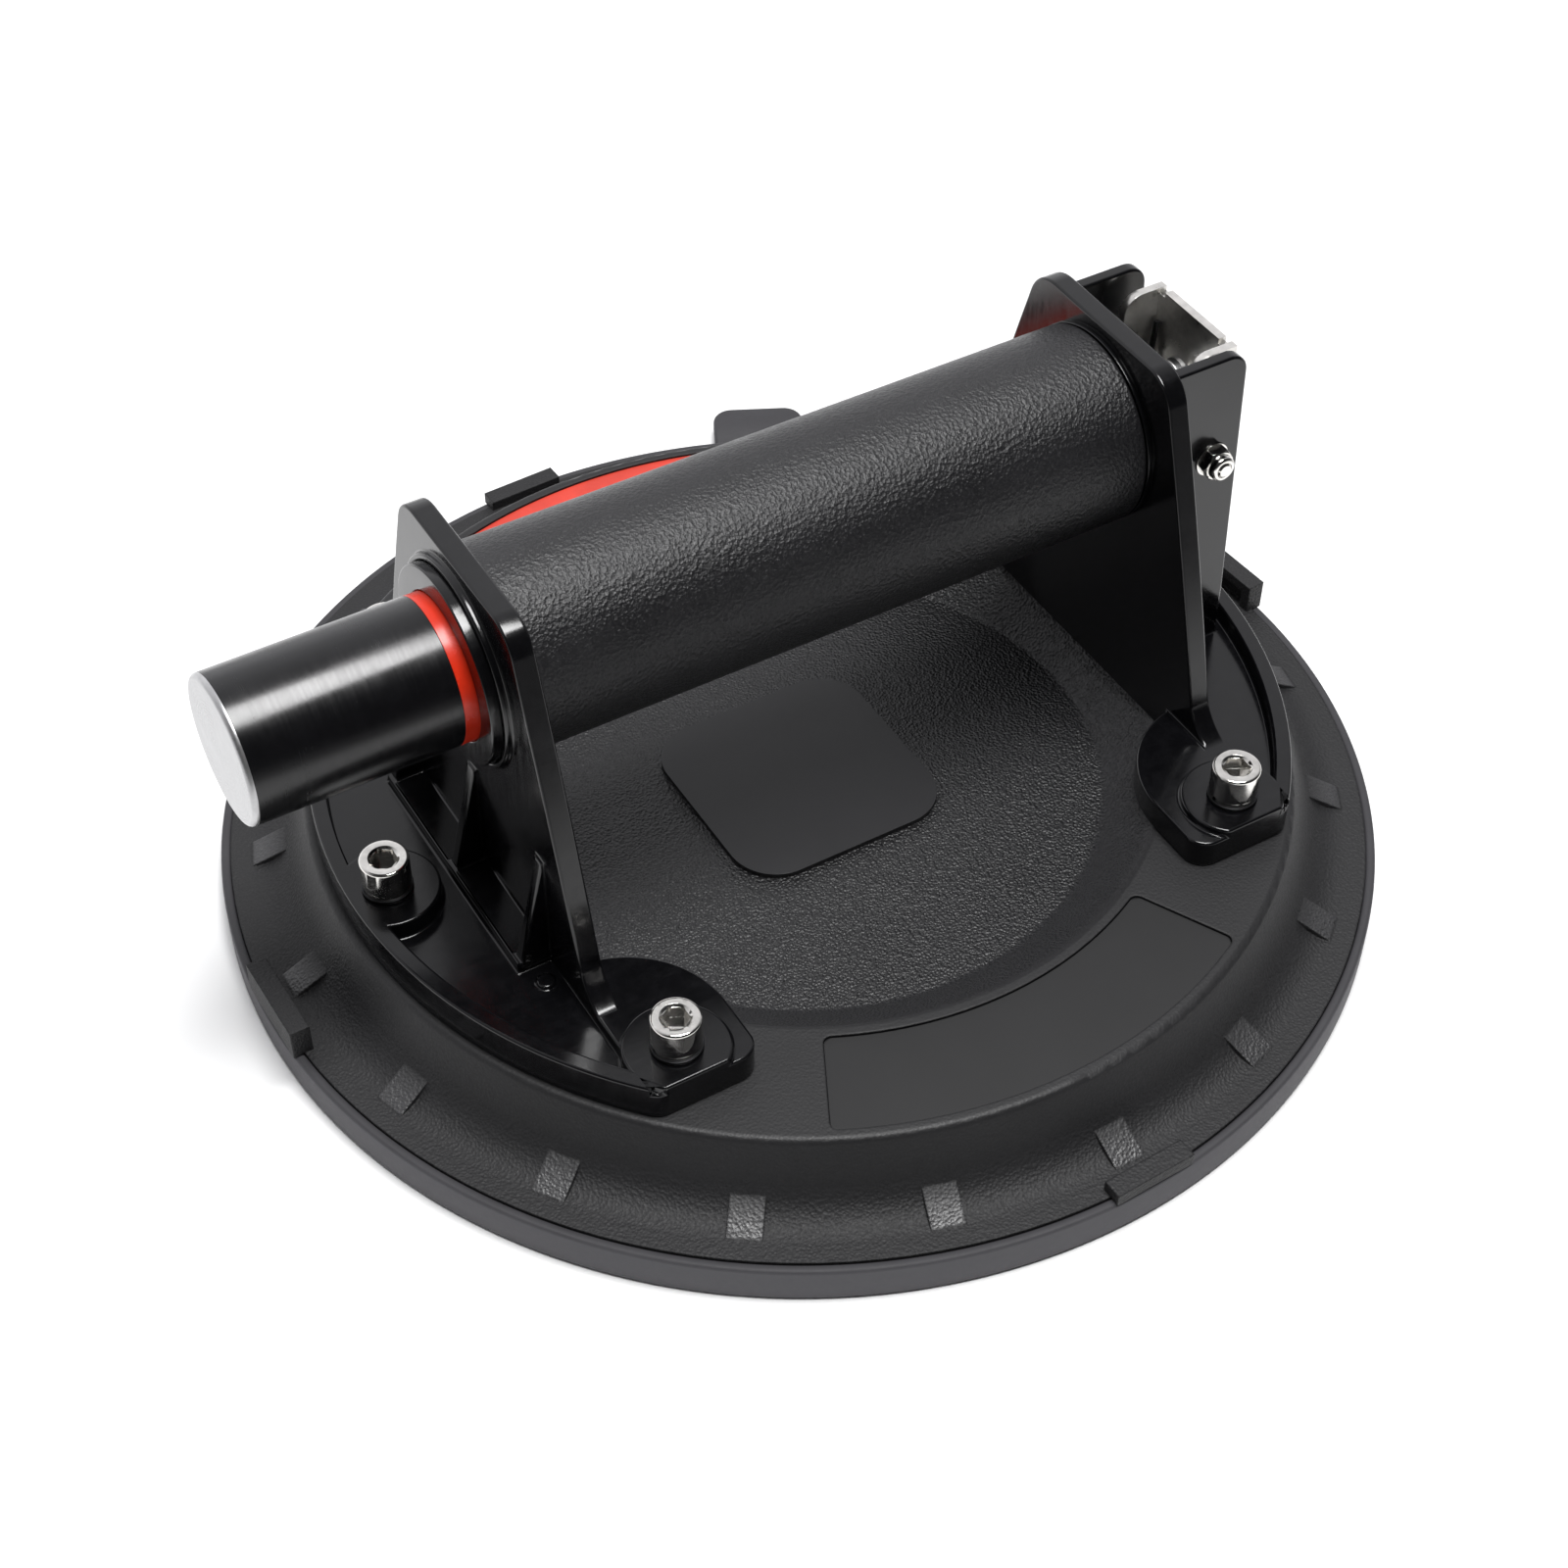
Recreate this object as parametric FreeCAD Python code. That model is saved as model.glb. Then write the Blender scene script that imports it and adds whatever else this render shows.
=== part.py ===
import FreeCAD, Part
import math
import os

# A hand-pumped vacuum lifting cup. Millimetres.
# Origin: centre of the plane on which the rubber pad stands. +Z up.
# +X runs along the handle, from the pump plunger (-X) to the release lever (+X).

V = FreeCAD.Vector
ORIGIN = V(0, 0, 0)
ALONG_X = V(1, 0, 0)
ALONG_Y = V(0, 1, 0)
ALONG_Z = V(0, 0, 1)

# ---- pad and base plate ----
pad_radius = 105.0
pad_band_height = 6.8
pad_lip_inner_radius = 80.0
pad_lip_taper = 2.0
pad_recess_depth = 1.5
pad_edge_round = 0.8
pad_band_chamfer = (0.6, 0.5)
sealing_ridge_radii = (34.0, 48.0, 62.0)
sealing_ridge_half_width = 1.0
sealing_ridge_bottom = 0.6
soft_gap = 0.05
base_bottom = 4.5
base_radius = 103.2
rim_top = 7.6
rim_fillet = 8.0
rim_fillet_centre_radius = 99.5
rim_fillet_start = 270.0
rim_fillet_end = 204.0
skirt_inner_top = 86.5
skirt_inner_foot = 92.0
wall = 3.5
ring_top = 20.0
shoulder_radius = 88.6
ring_edge_round = 1.4
ring_inner_radius = 65.5
dish_radius = 55.5
dish_floor = 12.0
hub_radius = 22.0
clamp_disc_radius = 16.0
clamp_disc_bottom = 0.4
clamp_screw_circle = 11.0
clamp_screw_count = 3
clamp_screw_radius = 1.4
clamp_screw_head_radius = 2.8
port_x = 70.2
port_radius = 1.5
port_boss_radius = 4.6
port_seal_radius = 3.1
port_filter_radius = 3.9
duct_radius = 1.1
duct_top = 59.0
under_rib_count = 12
under_rib_thickness = 2.0
rib_count = 19
rib_width = 5.8
rib_start_angle = -106.8
rib_top_radius = 93.0
rib_top_height = 10.95
rib_outer_radius = 99.5

low_lug_length = 15.5
low_lug_angles = (-87.4, 92.6)
tall_lug_length = 18.0
lug_outer = 104.8
lug_thickness = 3.6
low_lug_top = 9.8
tall_lug_top = 13.6
pump_side_lug_angle = 180.8
lever_side_lug_angle = 4.2
lug_pocket_wall = 2.0
lug_under_gap = 0.6

tab_angle = 63.5
tab_width = 19.0
tab_reach = 119.0
tab_bottom = 2.0
tab_thickness = 2.8
tab_corner = 4.0

badge_side = 41.5
badge_corner = 9.0
badge_thickness = 1.0
label_inner_radius = 67.5
label_outer_radius = 86.6
label_half_angle = 27.5
label_depth = 0.9
label_thickness = 0.5
label_margin = 0.15
label_corner = 1.5

# ---- brackets ----
plate_inner_x = 59.0
plate_thickness = 4.0
plate_top = 91.0
plate_top_half_width = 19.0
plate_flank_mid = (28.2, 61.5)
plate_flank_foot = (36.6, 31.3)
plate_ear_foot = (46.0, 25.0)
plate_corner = 7.0
foot_outer_radius = 87.4
foot_half_width = 61.4
foot_corner = 4.0
ear_sweep_centre = (62.0, 49.0)
ear_sweep_radius = 18.8
foot_wall = 3.0
foot_wall_top = 27.0
foot_floor = 23.5
ear_top = 25.6
heel_depth = 6.0
heel_half_width = 25.5
heel_top = 25.6
gusset_y = 24.5
gusset_thickness = 2.5
gusset_top = 47.0
gusset_reach = 5.5
gusset_tip = 0.4
moulding_nub = (66.0, -29.5)
moulding_nub_radius = 1.6
collar_radius = 18.3
collar_height = 1.2

# ---- bracket screws: M5 socket head cap screws ----
corner_screw = (55.2, 54.5)
middle_screw_x = 80.5
corner_pad_radius = 9.0
middle_pad_radius = 9.0
screw_pad_top = 27.2
screw_shank_radius = 2.5
screw_head_radius = 4.25
screw_head_height = 5.3
screw_socket_across_flats = 4.3
screw_socket_depth = 2.8
screw_socket_mouth = 2.7
screw_mouth_depth = 0.4
screw_head_round = 0.5
screw_tip = 12.0
plain_washer_radius = 4.4
plain_washer_thickness = 0.6
lock_washer_radius = 4.15
lock_washer_thickness = 1.0
lock_washer_slit = 0.6
insert_radius = 3.6
insert_boss_wall = 3.0

# ---- handle and pump ----
axis_z = 70.7
grip_radius = 17.95
barrel_radius = 15.4
barrel_bore = 13.5
plunger_radius = 12.7
plunger_bore = 10.9
plunger_end_x = -104.1
cap_thickness = 3.6
stroke = 36.0
stroke_reserve = 0.5
piston_length = 6.0
valve_face_x = 24.5
valve_block_length = 12.5
bush_radius = 17.1
bush_flange_x = -66.0
band_outer_x = -68.4
band_inner_x = -61.0
running_gap = 0.05
bush_end_x = -52.0
grip_end_x = 58.1
end_ring_x = 58.3
band_thickness = 0.6
cap_head_length = 1.0
cap_edge_round = 0.9
piston_bore = 9.5
seal_groove_radius = 12.2
seal_width = 2.0
return_spring_radius = 7.0
return_spring_wire = 0.7
return_spring_turns = 24
vent_x = 33.0
vent_radius = 1.2

# ---- valves in the pump ----
exhaust_offset = -9.8
intake_bore = 3.0
intake_head_radius = 4.2
intake_stem_radius = 0.9
intake_retainer_radius = 2.2
intake_lift = 3.0
air_hole_radius = 0.7
air_hole_circle = 2.1
air_hole_count = 4
exhaust_bore = 1.2
exhaust_pocket_radius = 2.2
exhaust_head_radius = 1.9
exhaust_stem_radius = 0.7
valve_spring_radius = 1.4
valve_spring_wire = 0.2

# ---- release lever and release valve ----
release_z = 74.0
housing_outer_y = 16.0
housing_wall = 2.5
housing_top = 88.3
housing_top_x = 79.0
housing_foot_x = 81.0
housing_knee = 33.0
housing_corner = 4.0
pivot_x = 73.8
pivot_z = 67.2
pivot_radius = 1.5
nut_across_flats = 5.5
nut_thickness = 2.4
nut_collar_radius = 2.4
nut_collar_length = 1.4
lever_half_width = 11.0
lever_metal = 1.6
lever_web_x = 78.9
lever_top = 85.7
lever_bottom = 50.0
lever_arm_x = 71.7
pivot_bush_radius = 2.6
lever_corner = 3.5
lever_notch = (1.6, 1.0)
spacer_radius = 3.2
stem_radius = 2.0
stem_disc_radius = 4.5
stem_disc_thickness = 1.4
stem_disc_x = 56.0
stem_head_radius = 3.0
stem_head_length = 2.0
stem_head_cone = 1.2
release_body_radius = 6.0
release_body_end = 70.0
release_body_floor = 3.0
release_spring_radius = 2.75
release_spring_wire = 0.35
lever_spring_wire = 0.55
lever_spring_leg_y = 8.3
lever_spring_turns = 3.25
lever_spring_tip_z = 79.6

plate_outer_x = plate_inner_x + plate_thickness
pad_top = base_bottom - soft_gap
head_base = screw_pad_top + plain_washer_thickness + lock_washer_thickness
valve_back_x = valve_face_x + valve_block_length
piston_end_x = valve_face_x - stroke_reserve - stroke
intake_wall_x = valve_back_x - 3.0
exhaust_z = axis_z + exhaust_offset
exhaust_pocket_x = valve_face_x + 4.5
exhaust_plug_x = valve_back_x - 2.0
housing_inner_y = housing_outer_y - housing_wall
stem_tip_x = lever_web_x - 0.1
stem_head_x = stem_tip_x - stem_head_length


# ---- shape helpers ----
def disc(radius, low, high, x=0.0, y=0.0):
    return Part.makeCylinder(radius, high - low, V(x, y, low), ALONG_Z)


def ring(outer, inner, low, high, x=0.0, y=0.0):
    return disc(outer, low, high, x, y).cut(disc(inner, low, high, x, y))


def rod_x(radius, start, end, y=0.0, z=axis_z):
    return Part.makeCylinder(radius, end - start, V(start, y, z), ALONG_X)


def tube_x(outer, inner, start, end, y=0.0, z=axis_z):
    return rod_x(outer, start, end, y, z).cut(rod_x(inner, start, end, y, z))


def rod_y(radius, start, end, x, z):
    return Part.makeCylinder(radius, end - start, V(x, start, z), ALONG_Y)


def block(x_low, x_high, y_low, y_high, z_low, z_high):
    size = V(x_high - x_low, y_high - y_low, z_high - z_low)
    return Part.makeBox(size.x, size.y, size.z, V(x_low, y_low, z_low))


def polygon(points):
    return Part.makePolygon(points + [points[0]])


def prism(wire, push):
    return Part.Face(wire).extrude(push)


def line(start, end):
    return Part.LineSegment(start, end).toShape()


def arc(start, middle, end):
    return Part.Arc(start, middle, end).toShape()


def turned(points, angle):
    """A shape turned about Z by an angle in degrees."""
    shape = points.copy()
    shape.rotate(ORIGIN, ALONG_Z, angle)
    return shape


def mirrored_x(shape):
    return shape.mirror(ORIGIN, ALONG_X)


def fused(shapes):
    return shapes[0].fuse(shapes[1:]).removeSplitter()


def upright_edges(shape, keep=lambda middle: True):
    """The straight vertical edges of a shape, for rounding its corners."""
    chosen = []
    for edge in shape.Edges:
        first = edge.Vertexes[0].Point
        last = edge.Vertexes[-1].Point
        straight = isinstance(edge.Curve, Part.Line)
        if straight and abs((last - first).normalize().z) > 0.99 and keep((first + last) / 2):
            chosen.append(edge)
    return chosen


def sector(inner, outer, half_angle, low, high, corner):
    """A curved plate centred on +X, with rounded corners."""
    half = math.radians(half_angle)
    edge_in = V(inner * math.cos(half), inner * math.sin(half), low)
    edge_out = V(outer * math.cos(half), outer * math.sin(half), low)
    across_in = V(edge_in.x, -edge_in.y, low)
    across_out = V(edge_out.x, -edge_out.y, low)
    outline = Part.Wire([
        line(edge_in, edge_out),
        arc(edge_out, V(outer, 0, low), across_out),
        line(across_out, across_in),
        arc(across_in, V(inner, 0, low), edge_in),
    ])
    plate = prism(outline, V(0, 0, high - low))
    return plate.makeFillet(corner, upright_edges(plate))


def hexagon_y(across_flats, start, end, x, z):
    reach = across_flats / math.sqrt(3)
    turns = [math.radians(60 * k) for k in range(6)]
    points = [V(x + reach * math.cos(t), start, z + reach * math.sin(t)) for t in turns]
    return prism(polygon(points), V(0, end - start, 0))


def hexagon_z(across_flats, low, high, x, y):
    reach = across_flats / math.sqrt(3)
    turns = [math.radians(60 * k + 30) for k in range(6)]
    points = [V(x + reach * math.cos(t), y + reach * math.sin(t), low) for t in turns]
    return prism(polygon(points), V(0, 0, high - low))


def spring_x(mean_radius, wire_radius, start, end, turns, y=0.0, z=axis_z):
    """A coil spring along X whose wire stays between start and end."""
    length = end - start - 2 * wire_radius
    helix = Part.makeHelix(length / turns, length, mean_radius)
    section = Part.Circle(V(mean_radius, 0, 0), ALONG_Y, wire_radius).toShape()
    coil = Part.Wire(helix).makePipeShell([Part.Wire(section)], True, True)
    coil.rotate(ORIGIN, ALONG_Y, 90)
    coil.translate(V(start + wire_radius, y, z))
    return coil


def screw_places(side):
    """The three screws of one bracket; side is -1 at the pump and +1 at the lever."""
    return [
        (side * corner_screw[0], -corner_screw[1]),
        (side * middle_screw_x, 0.0),
        (side * corner_screw[0], corner_screw[1]),
    ]


all_screws = screw_places(-1) + screw_places(1)


# ---- pad ----
def make_suction_pad():
    seat_radius = base_radius + soft_gap
    chamfer_width, chamfer_height = pad_band_chamfer
    band_top = pad_band_height + chamfer_height
    profile = [
        V(0, 0, pad_recess_depth),
        V(pad_lip_inner_radius - pad_lip_taper, 0, pad_recess_depth),
        V(pad_lip_inner_radius, 0, 0),
        V(pad_radius - pad_edge_round, 0, 0),
        V(pad_radius, 0, pad_edge_round),
        V(pad_radius, 0, pad_band_height),
        V(pad_radius - chamfer_width, 0, band_top),
        V(seat_radius, 0, band_top),
        V(seat_radius, 0, pad_top),
        V(0, 0, pad_top),
    ]
    body = Part.Face(polygon(profile)).revolve(ORIGIN, ALONG_Z, 360)
    for radius in sealing_ridge_radii:
        outer = radius + sealing_ridge_half_width
        inner = radius - sealing_ridge_half_width
        body = body.fuse(ring(outer, inner, sealing_ridge_bottom, pad_recess_depth))
    body = fused([body, pull_tab()])
    return body.cut(disc(port_filter_radius + 0.1, 0, base_bottom, port_x))


def pull_tab():
    """The tongue on the pad's edge for peeling it off a surface."""
    top = tab_bottom + tab_thickness
    half = tab_width / 2
    tab = block(pad_radius - 3, tab_reach, -half, half, tab_bottom, top)
    tab = tab.makeFillet(tab_corner, upright_edges(tab, lambda middle: middle.x > pad_radius))
    return turned(tab, tab_angle).cut(disc(pad_radius - 1, 0, rim_top))


def make_pad_clamp_disc():
    return disc(clamp_disc_radius, clamp_disc_bottom, pad_recess_depth - soft_gap)


# ---- base plate ----
def base_shell():
    """The moulded shell: rim, filleted wall, raised ring and sunken dish."""
    start_angle = math.radians(rim_fillet_start)
    end_angle = math.radians(rim_fillet_end)
    middle_angle = (start_angle + end_angle) / 2
    fillet_z = rim_top + rim_fillet

    def on_fillet(angle):
        across = rim_fillet_centre_radius + rim_fillet * math.cos(angle)
        return V(across, 0, fillet_z + rim_fillet * math.sin(angle))

    fillet_end = on_fillet(end_angle)
    inner_floor = dish_floor - wall
    inner_ring = ring_top - wall
    top_points = [
        V(shoulder_radius, 0, ring_top),
        V(ring_inner_radius, 0, ring_top),
        V(dish_radius, 0, dish_floor),
        V(0, 0, dish_floor),
        V(0, 0, inner_floor),
        V(dish_radius + 1.2, 0, inner_floor),
        V(ring_inner_radius + 1.2, 0, inner_ring),
        V(skirt_inner_top, 0, inner_ring),
        V(skirt_inner_foot, 0, base_bottom),
        V(base_radius, 0, base_bottom),
        V(base_radius, 0, rim_top),
        V(rim_fillet_centre_radius, 0, rim_top),
    ]
    edges = [arc(on_fillet(start_angle), on_fillet(middle_angle), fillet_end)]
    edges.append(line(fillet_end, top_points[0]))
    edges += [line(a, b) for a, b in zip(top_points, top_points[1:])]
    shell = Part.Face(Part.Wire(edges)).revolve(ORIGIN, ALONG_Z, 360)
    rounds = circle_edges(shell, shoulder_radius, ring_top)
    rounds += circle_edges(shell, ring_inner_radius, ring_top)
    rounds += circle_edges(shell, dish_radius, dish_floor)
    return shell.makeFillet(ring_edge_round, rounds)


def circle_edges(shape, radius, height):
    """The edges of a turned shape that are circles of this radius at this height."""
    found = []
    for edge in shape.Edges:
        box = edge.BoundBox
        if abs(box.ZMin - height) + abs(box.ZMax - height) + abs(box.XMax - radius) < 0.01:
            found.append(edge)
    return found


def rim_rib():
    """One shallow rib that bridges the fillet at the foot of the outer wall, on +X."""
    root_radius = rib_top_radius - 1.5
    root_height = rim_top - 1
    outline = polygon([
        V(root_radius, -rib_width / 2, root_height),
        V(root_radius, -rib_width / 2, rib_top_height),
        V(rib_top_radius, -rib_width / 2, rib_top_height),
        V(rib_outer_radius, -rib_width / 2, rim_top + 0.02),
        V(rib_outer_radius, -rib_width / 2, root_height),
    ])
    return prism(outline, V(0, rib_width, 0))


def low_lug():
    inner = lug_outer - lug_thickness
    half = low_lug_length / 2
    foot = block(inner, base_radius, -half, half, rim_top - 1, low_lug_top)
    cover = block(inner, lug_outer, -half, half, pad_band_height + lug_under_gap, low_lug_top)
    return foot.common(disc(base_radius, 0, ring_top)).fuse(cover)


def tall_lug():
    """A taller lug with a pocket that opens inward."""
    inner = lug_outer - lug_thickness
    half = tall_lug_length / 2
    foot = block(inner, base_radius, -half, half, rim_top - 1, tall_lug_top)
    cover = block(inner, lug_outer, -half, half, pad_band_height + lug_under_gap, tall_lug_top)
    pocket = block(
        inner - 1,
        lug_outer - lug_pocket_wall,
        lug_pocket_wall - half,
        half - lug_pocket_wall,
        rim_top + 0.1,
        tall_lug_top - lug_pocket_wall,
    )
    return foot.common(disc(base_radius, 0, ring_top)).fuse(cover).cut(pocket)


def under_ribs():
    """Stiffening ribs hidden under the shell."""
    side = -under_rib_thickness / 2
    start = hub_radius - 2
    ring_low = ring_top - wall + 0.5
    dish_low = dish_floor - wall + 0.5
    outline = polygon([
        V(start, side, base_bottom),
        V(skirt_inner_foot - 1, side, base_bottom),
        V(skirt_inner_top - 0.5, side, ring_low),
        V(ring_inner_radius + 2, side, ring_low),
        V(dish_radius, side, dish_low),
        V(start, side, dish_low),
    ])
    one = prism(outline, V(0, under_rib_thickness, 0))
    step = 360 / under_rib_count
    return [turned(one, step * (k + 0.5)) for k in range(under_rib_count)]


def make_base_plate():
    solids = [base_shell(), disc(hub_radius, base_bottom, dish_floor - 1)]
    solids += under_ribs()
    step = 360 / rib_count
    solids += [turned(rim_rib(), rib_start_angle + step * k) for k in range(rib_count)]
    solids += [turned(low_lug(), angle) for angle in low_lug_angles]
    solids += [turned(tall_lug(), angle) for angle in (lever_side_lug_angle, pump_side_lug_angle)]
    boss_radius = insert_radius + insert_boss_wall
    solids += [disc(boss_radius, base_bottom, ring_top - 1, x, y) for x, y in all_screws]
    solids.append(disc(port_boss_radius, base_bottom, ring_top - 1, port_x))
    body = fused(solids)
    for x, y in all_screws:
        body = body.cut(disc(insert_radius, screw_tip - 1, ring_top, x, y))
    body = body.cut(disc(port_radius, base_bottom, ring_top, port_x))
    body = body.cut(disc(port_seal_radius + 0.1, ring_top - 0.9, ring_top, port_x))
    low = ring_top - label_depth
    recess = sector(
        label_inner_radius, label_outer_radius, label_half_angle, low, ring_top, label_corner
    )
    for angle in (-90, 90):
        body = body.cut(turned(recess, angle))
    for x, y in clamp_screw_places():
        hole = disc(clamp_screw_radius + 0.1, base_bottom, dish_floor - 2, x, y)
        body = body.cut(hole)
    return body


def make_centre_badge():
    half = badge_side / 2
    top = dish_floor + badge_thickness
    plate = block(-half, half, -half, half, dish_floor, top)
    return plate.makeFillet(badge_corner, upright_edges(plate))


def make_label(angle):
    low = ring_top - label_depth
    margin_angle = math.degrees(label_margin / label_outer_radius)
    plate = sector(
        label_inner_radius + label_margin,
        label_outer_radius - label_margin,
        label_half_angle - margin_angle,
        low,
        low + label_thickness,
        label_corner - label_margin,
    )
    return turned(plate, angle)


# ---- brackets, drawn on the lever side ----
def foot_outline(low, inset=0.0):
    """The foot seen from above: outer arc, straight ends and the swept inner edges."""
    outer = foot_outer_radius - inset
    end_y = foot_half_width - inset
    end_x = math.sqrt(outer**2 - end_y**2)
    centre_x, centre_y = ear_sweep_centre
    side_x = centre_x - ear_sweep_radius
    slant = ear_sweep_radius * math.sqrt(0.5)
    meet_y = centre_y - math.sqrt(ear_sweep_radius**2 - (centre_x - plate_inner_x) ** 2)

    def half(sign):
        return [
            V(end_x, sign * end_y, low),
            V(side_x, sign * end_y, low),
            V(side_x, sign * centre_y, low),
            V(centre_x - slant, sign * (centre_y - slant), low),
            V(plate_inner_x, sign * meet_y, low),
        ]

    back = half(1)
    front = half(-1)
    return Part.Wire([
        arc(front[0], V(outer, 0, low), back[0]),
        line(back[0], back[1]),
        line(back[1], back[2]),
        arc(back[2], back[3], back[4]),
        line(back[4], front[4]),
        arc(front[4], front[3], front[2]),
        line(front[2], front[1]),
        line(front[1], front[0]),
    ])


def foot_solid():
    full = prism(foot_outline(ring_top), V(0, 0, foot_wall_top - ring_top))
    outside = lambda middle: abs(middle.y) > foot_half_width - 1
    return full.makeFillet(foot_corner, upright_edges(full, outside))


def bracket_foot():
    full = foot_solid()
    tray_reach = foot_half_width - foot_wall
    tray = disc(foot_outer_radius - foot_wall, foot_floor, foot_wall_top)
    tray = tray.common(
        block(plate_outer_x, foot_outer_radius, -tray_reach, tray_reach, foot_floor, foot_wall_top)
    )
    ear_cut = block(
        0, plate_outer_x, -foot_half_width, foot_half_width, ear_top, foot_wall_top
    )
    foot = full.cut(tray).cut(ear_cut)
    corner_pads = [
        disc(corner_pad_radius, ring_top, screw_pad_top, corner_screw[0], sign * corner_screw[1])
        for sign in (-1, 1)
    ]
    pads = [pad.common(full) for pad in corner_pads]
    pads.append(disc(middle_pad_radius, ring_top, screw_pad_top, middle_screw_x).common(full))
    return fused([foot] + pads)


def bracket_plate():
    """The upright plate: rounded top, slightly bowed flanks and flared feet."""
    top = plate_top
    shoulder = V(plate_inner_x, plate_top_half_width, top)
    middle = V(plate_inner_x, *plate_flank_mid)
    foot = V(plate_inner_x, *plate_flank_foot)
    flare_middle = V(plate_inner_x, plate_flank_foot[0] + 3.4, plate_flank_foot[1] - 4.4)
    ear = V(plate_inner_x, *plate_ear_foot)
    ear_low = V(plate_inner_x, plate_ear_foot[0], ring_top)

    def across(point):
        return V(point.x, -point.y, point.z)

    outline = Part.Wire([
        line(across(shoulder), shoulder),
        arc(shoulder, middle, foot),
        arc(foot, flare_middle, ear),
        line(ear, ear_low),
        line(ear_low, across(ear_low)),
        line(across(ear_low), across(ear)),
        arc(across(ear), across(flare_middle), across(foot)),
        arc(across(foot), across(middle), across(shoulder)),
    ])
    plate = prism(outline, V(plate_thickness, 0, 0))
    corners = [
        edge for edge in plate.Edges
        if edge.BoundBox.ZMin > top - 0.01 and edge.BoundBox.XLength > plate_thickness - 0.01
        and edge.BoundBox.YLength < 0.01
    ]
    return plate.makeFillet(plate_corner, corners)


def gusset(y):
    side = y - gusset_thickness / 2
    root = plate_outer_x - 0.5
    outline = polygon([
        V(root, side, gusset_top),
        V(plate_outer_x + gusset_tip, side, gusset_top),
        V(plate_outer_x + gusset_reach, side, heel_top - 1),
        V(root, side, heel_top - 1),
    ])
    return prism(outline, V(0, gusset_thickness, 0))


def bracket_core(gusset_places):
    heel = block(
        plate_outer_x - 0.5,
        plate_outer_x + heel_depth,
        -heel_half_width,
        heel_half_width,
        foot_floor - 0.5,
        heel_top,
    )
    nub = disc(moulding_nub_radius, foot_floor - 0.5, foot_floor + 0.5, *moulding_nub)
    pieces = [bracket_foot(), bracket_plate(), heel, nub]
    pieces += [gusset(y) for y in gusset_places]
    core = fused(pieces)
    for x, y in screw_places(1):
        core = core.cut(disc(screw_shank_radius + 0.2, ring_top, screw_pad_top, x, y))
    return core


def make_pump_bracket():
    core = bracket_core((-gusset_y, 0.0, gusset_y))
    collar = rod_x(collar_radius, plate_outer_x - 0.5, plate_outer_x + collar_height)
    bore = rod_x(barrel_radius + running_gap, plate_inner_x - 1, plate_outer_x + 3)
    rebate = rod_x(bush_radius + running_gap, plate_outer_x, plate_outer_x + 3)
    return mirrored_x(core.fuse(collar).cut(bore).cut(rebate).removeSplitter())


def housing_wall_plate(low_y):
    """One side wall of the lever housing."""
    back = plate_outer_x - 0.5
    low = foot_floor - 0.5
    slack = housing_corner * (1 - math.sqrt(0.5))
    curve_start = V(housing_top_x - housing_corner, low_y, housing_top)
    curve_middle = V(housing_top_x - slack, low_y, housing_top - slack)
    curve_end = V(housing_top_x, low_y, housing_top - housing_corner)
    points = [
        curve_end,
        V(housing_foot_x, low_y, housing_knee),
        V(housing_foot_x, low_y, low),
        V(back, low_y, low),
        V(back, low_y, housing_top),
        curve_start,
    ]
    edges = [line(a, b) for a, b in zip(points, points[1:])]
    edges.append(arc(curve_start, curve_middle, curve_end))
    return prism(Part.Wire(edges), V(0, housing_wall, 0))


def vacuum_ducts():
    """The air path from the port, through the foot, up the plate and into the handle."""
    plate_x = (plate_inner_x + plate_outer_x) / 2
    foot_z = (ring_top + foot_floor) / 2
    return [
        disc(duct_radius, ring_top, foot_z, port_x),
        rod_x(duct_radius, plate_x, port_x + duct_radius, 0, foot_z),
        disc(duct_radius, foot_z - duct_radius, duct_top, plate_x),
        rod_x(duct_radius, plate_inner_x - 5, plate_x, 0, duct_top),
    ]


def make_lever_bracket():
    core = bracket_core((-gusset_y, gusset_y))
    walls = [housing_wall_plate(-housing_outer_y), housing_wall_plate(housing_inner_y)]
    spigot = tube_x(barrel_bore - running_gap, 10.0, plate_inner_x - 4, plate_inner_x + 0.5)
    body = fused([core, spigot] + walls)
    pivot_hole = rod_y(pivot_radius + 0.05, -housing_outer_y, housing_outer_y, pivot_x, pivot_z)
    stem_hole = rod_x(3.0, plate_inner_x - 1, plate_outer_x + 1, 0, release_z)
    for duct in vacuum_ducts():
        body = body.cut(duct)
    return body.cut(pivot_hole).cut(stem_hole)


# ---- fasteners ----
def make_bracket_screws():
    head_top = head_base + screw_head_height
    screws = []
    for x, y in all_screws:
        head = disc(screw_head_radius, head_base, head_top, x, y)
        rim = [edge for edge in head.Edges if edge.BoundBox.ZMin > head_top - 0.01]
        head = head.makeFillet(screw_head_round, rim)
        shank = disc(screw_shank_radius, screw_tip, head_base, x, y)
        socket = hexagon_z(
            screw_socket_across_flats, head_top - screw_socket_depth, head_top + 1, x, y
        )
        mouth = Part.makeCone(
            screw_socket_mouth - screw_mouth_depth,
            screw_socket_mouth,
            screw_mouth_depth,
            V(x, y, head_top - screw_mouth_depth),
            ALONG_Z,
        )
        screws.append(fused([head, shank]).cut(socket).cut(mouth))
    return Part.makeCompound(screws)


def make_plain_washers():
    top = screw_pad_top + plain_washer_thickness
    hole = screw_shank_radius + 0.15
    return Part.makeCompound([
        ring(plain_washer_radius, hole, screw_pad_top, top, x, y) for x, y in all_screws
    ])


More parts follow.
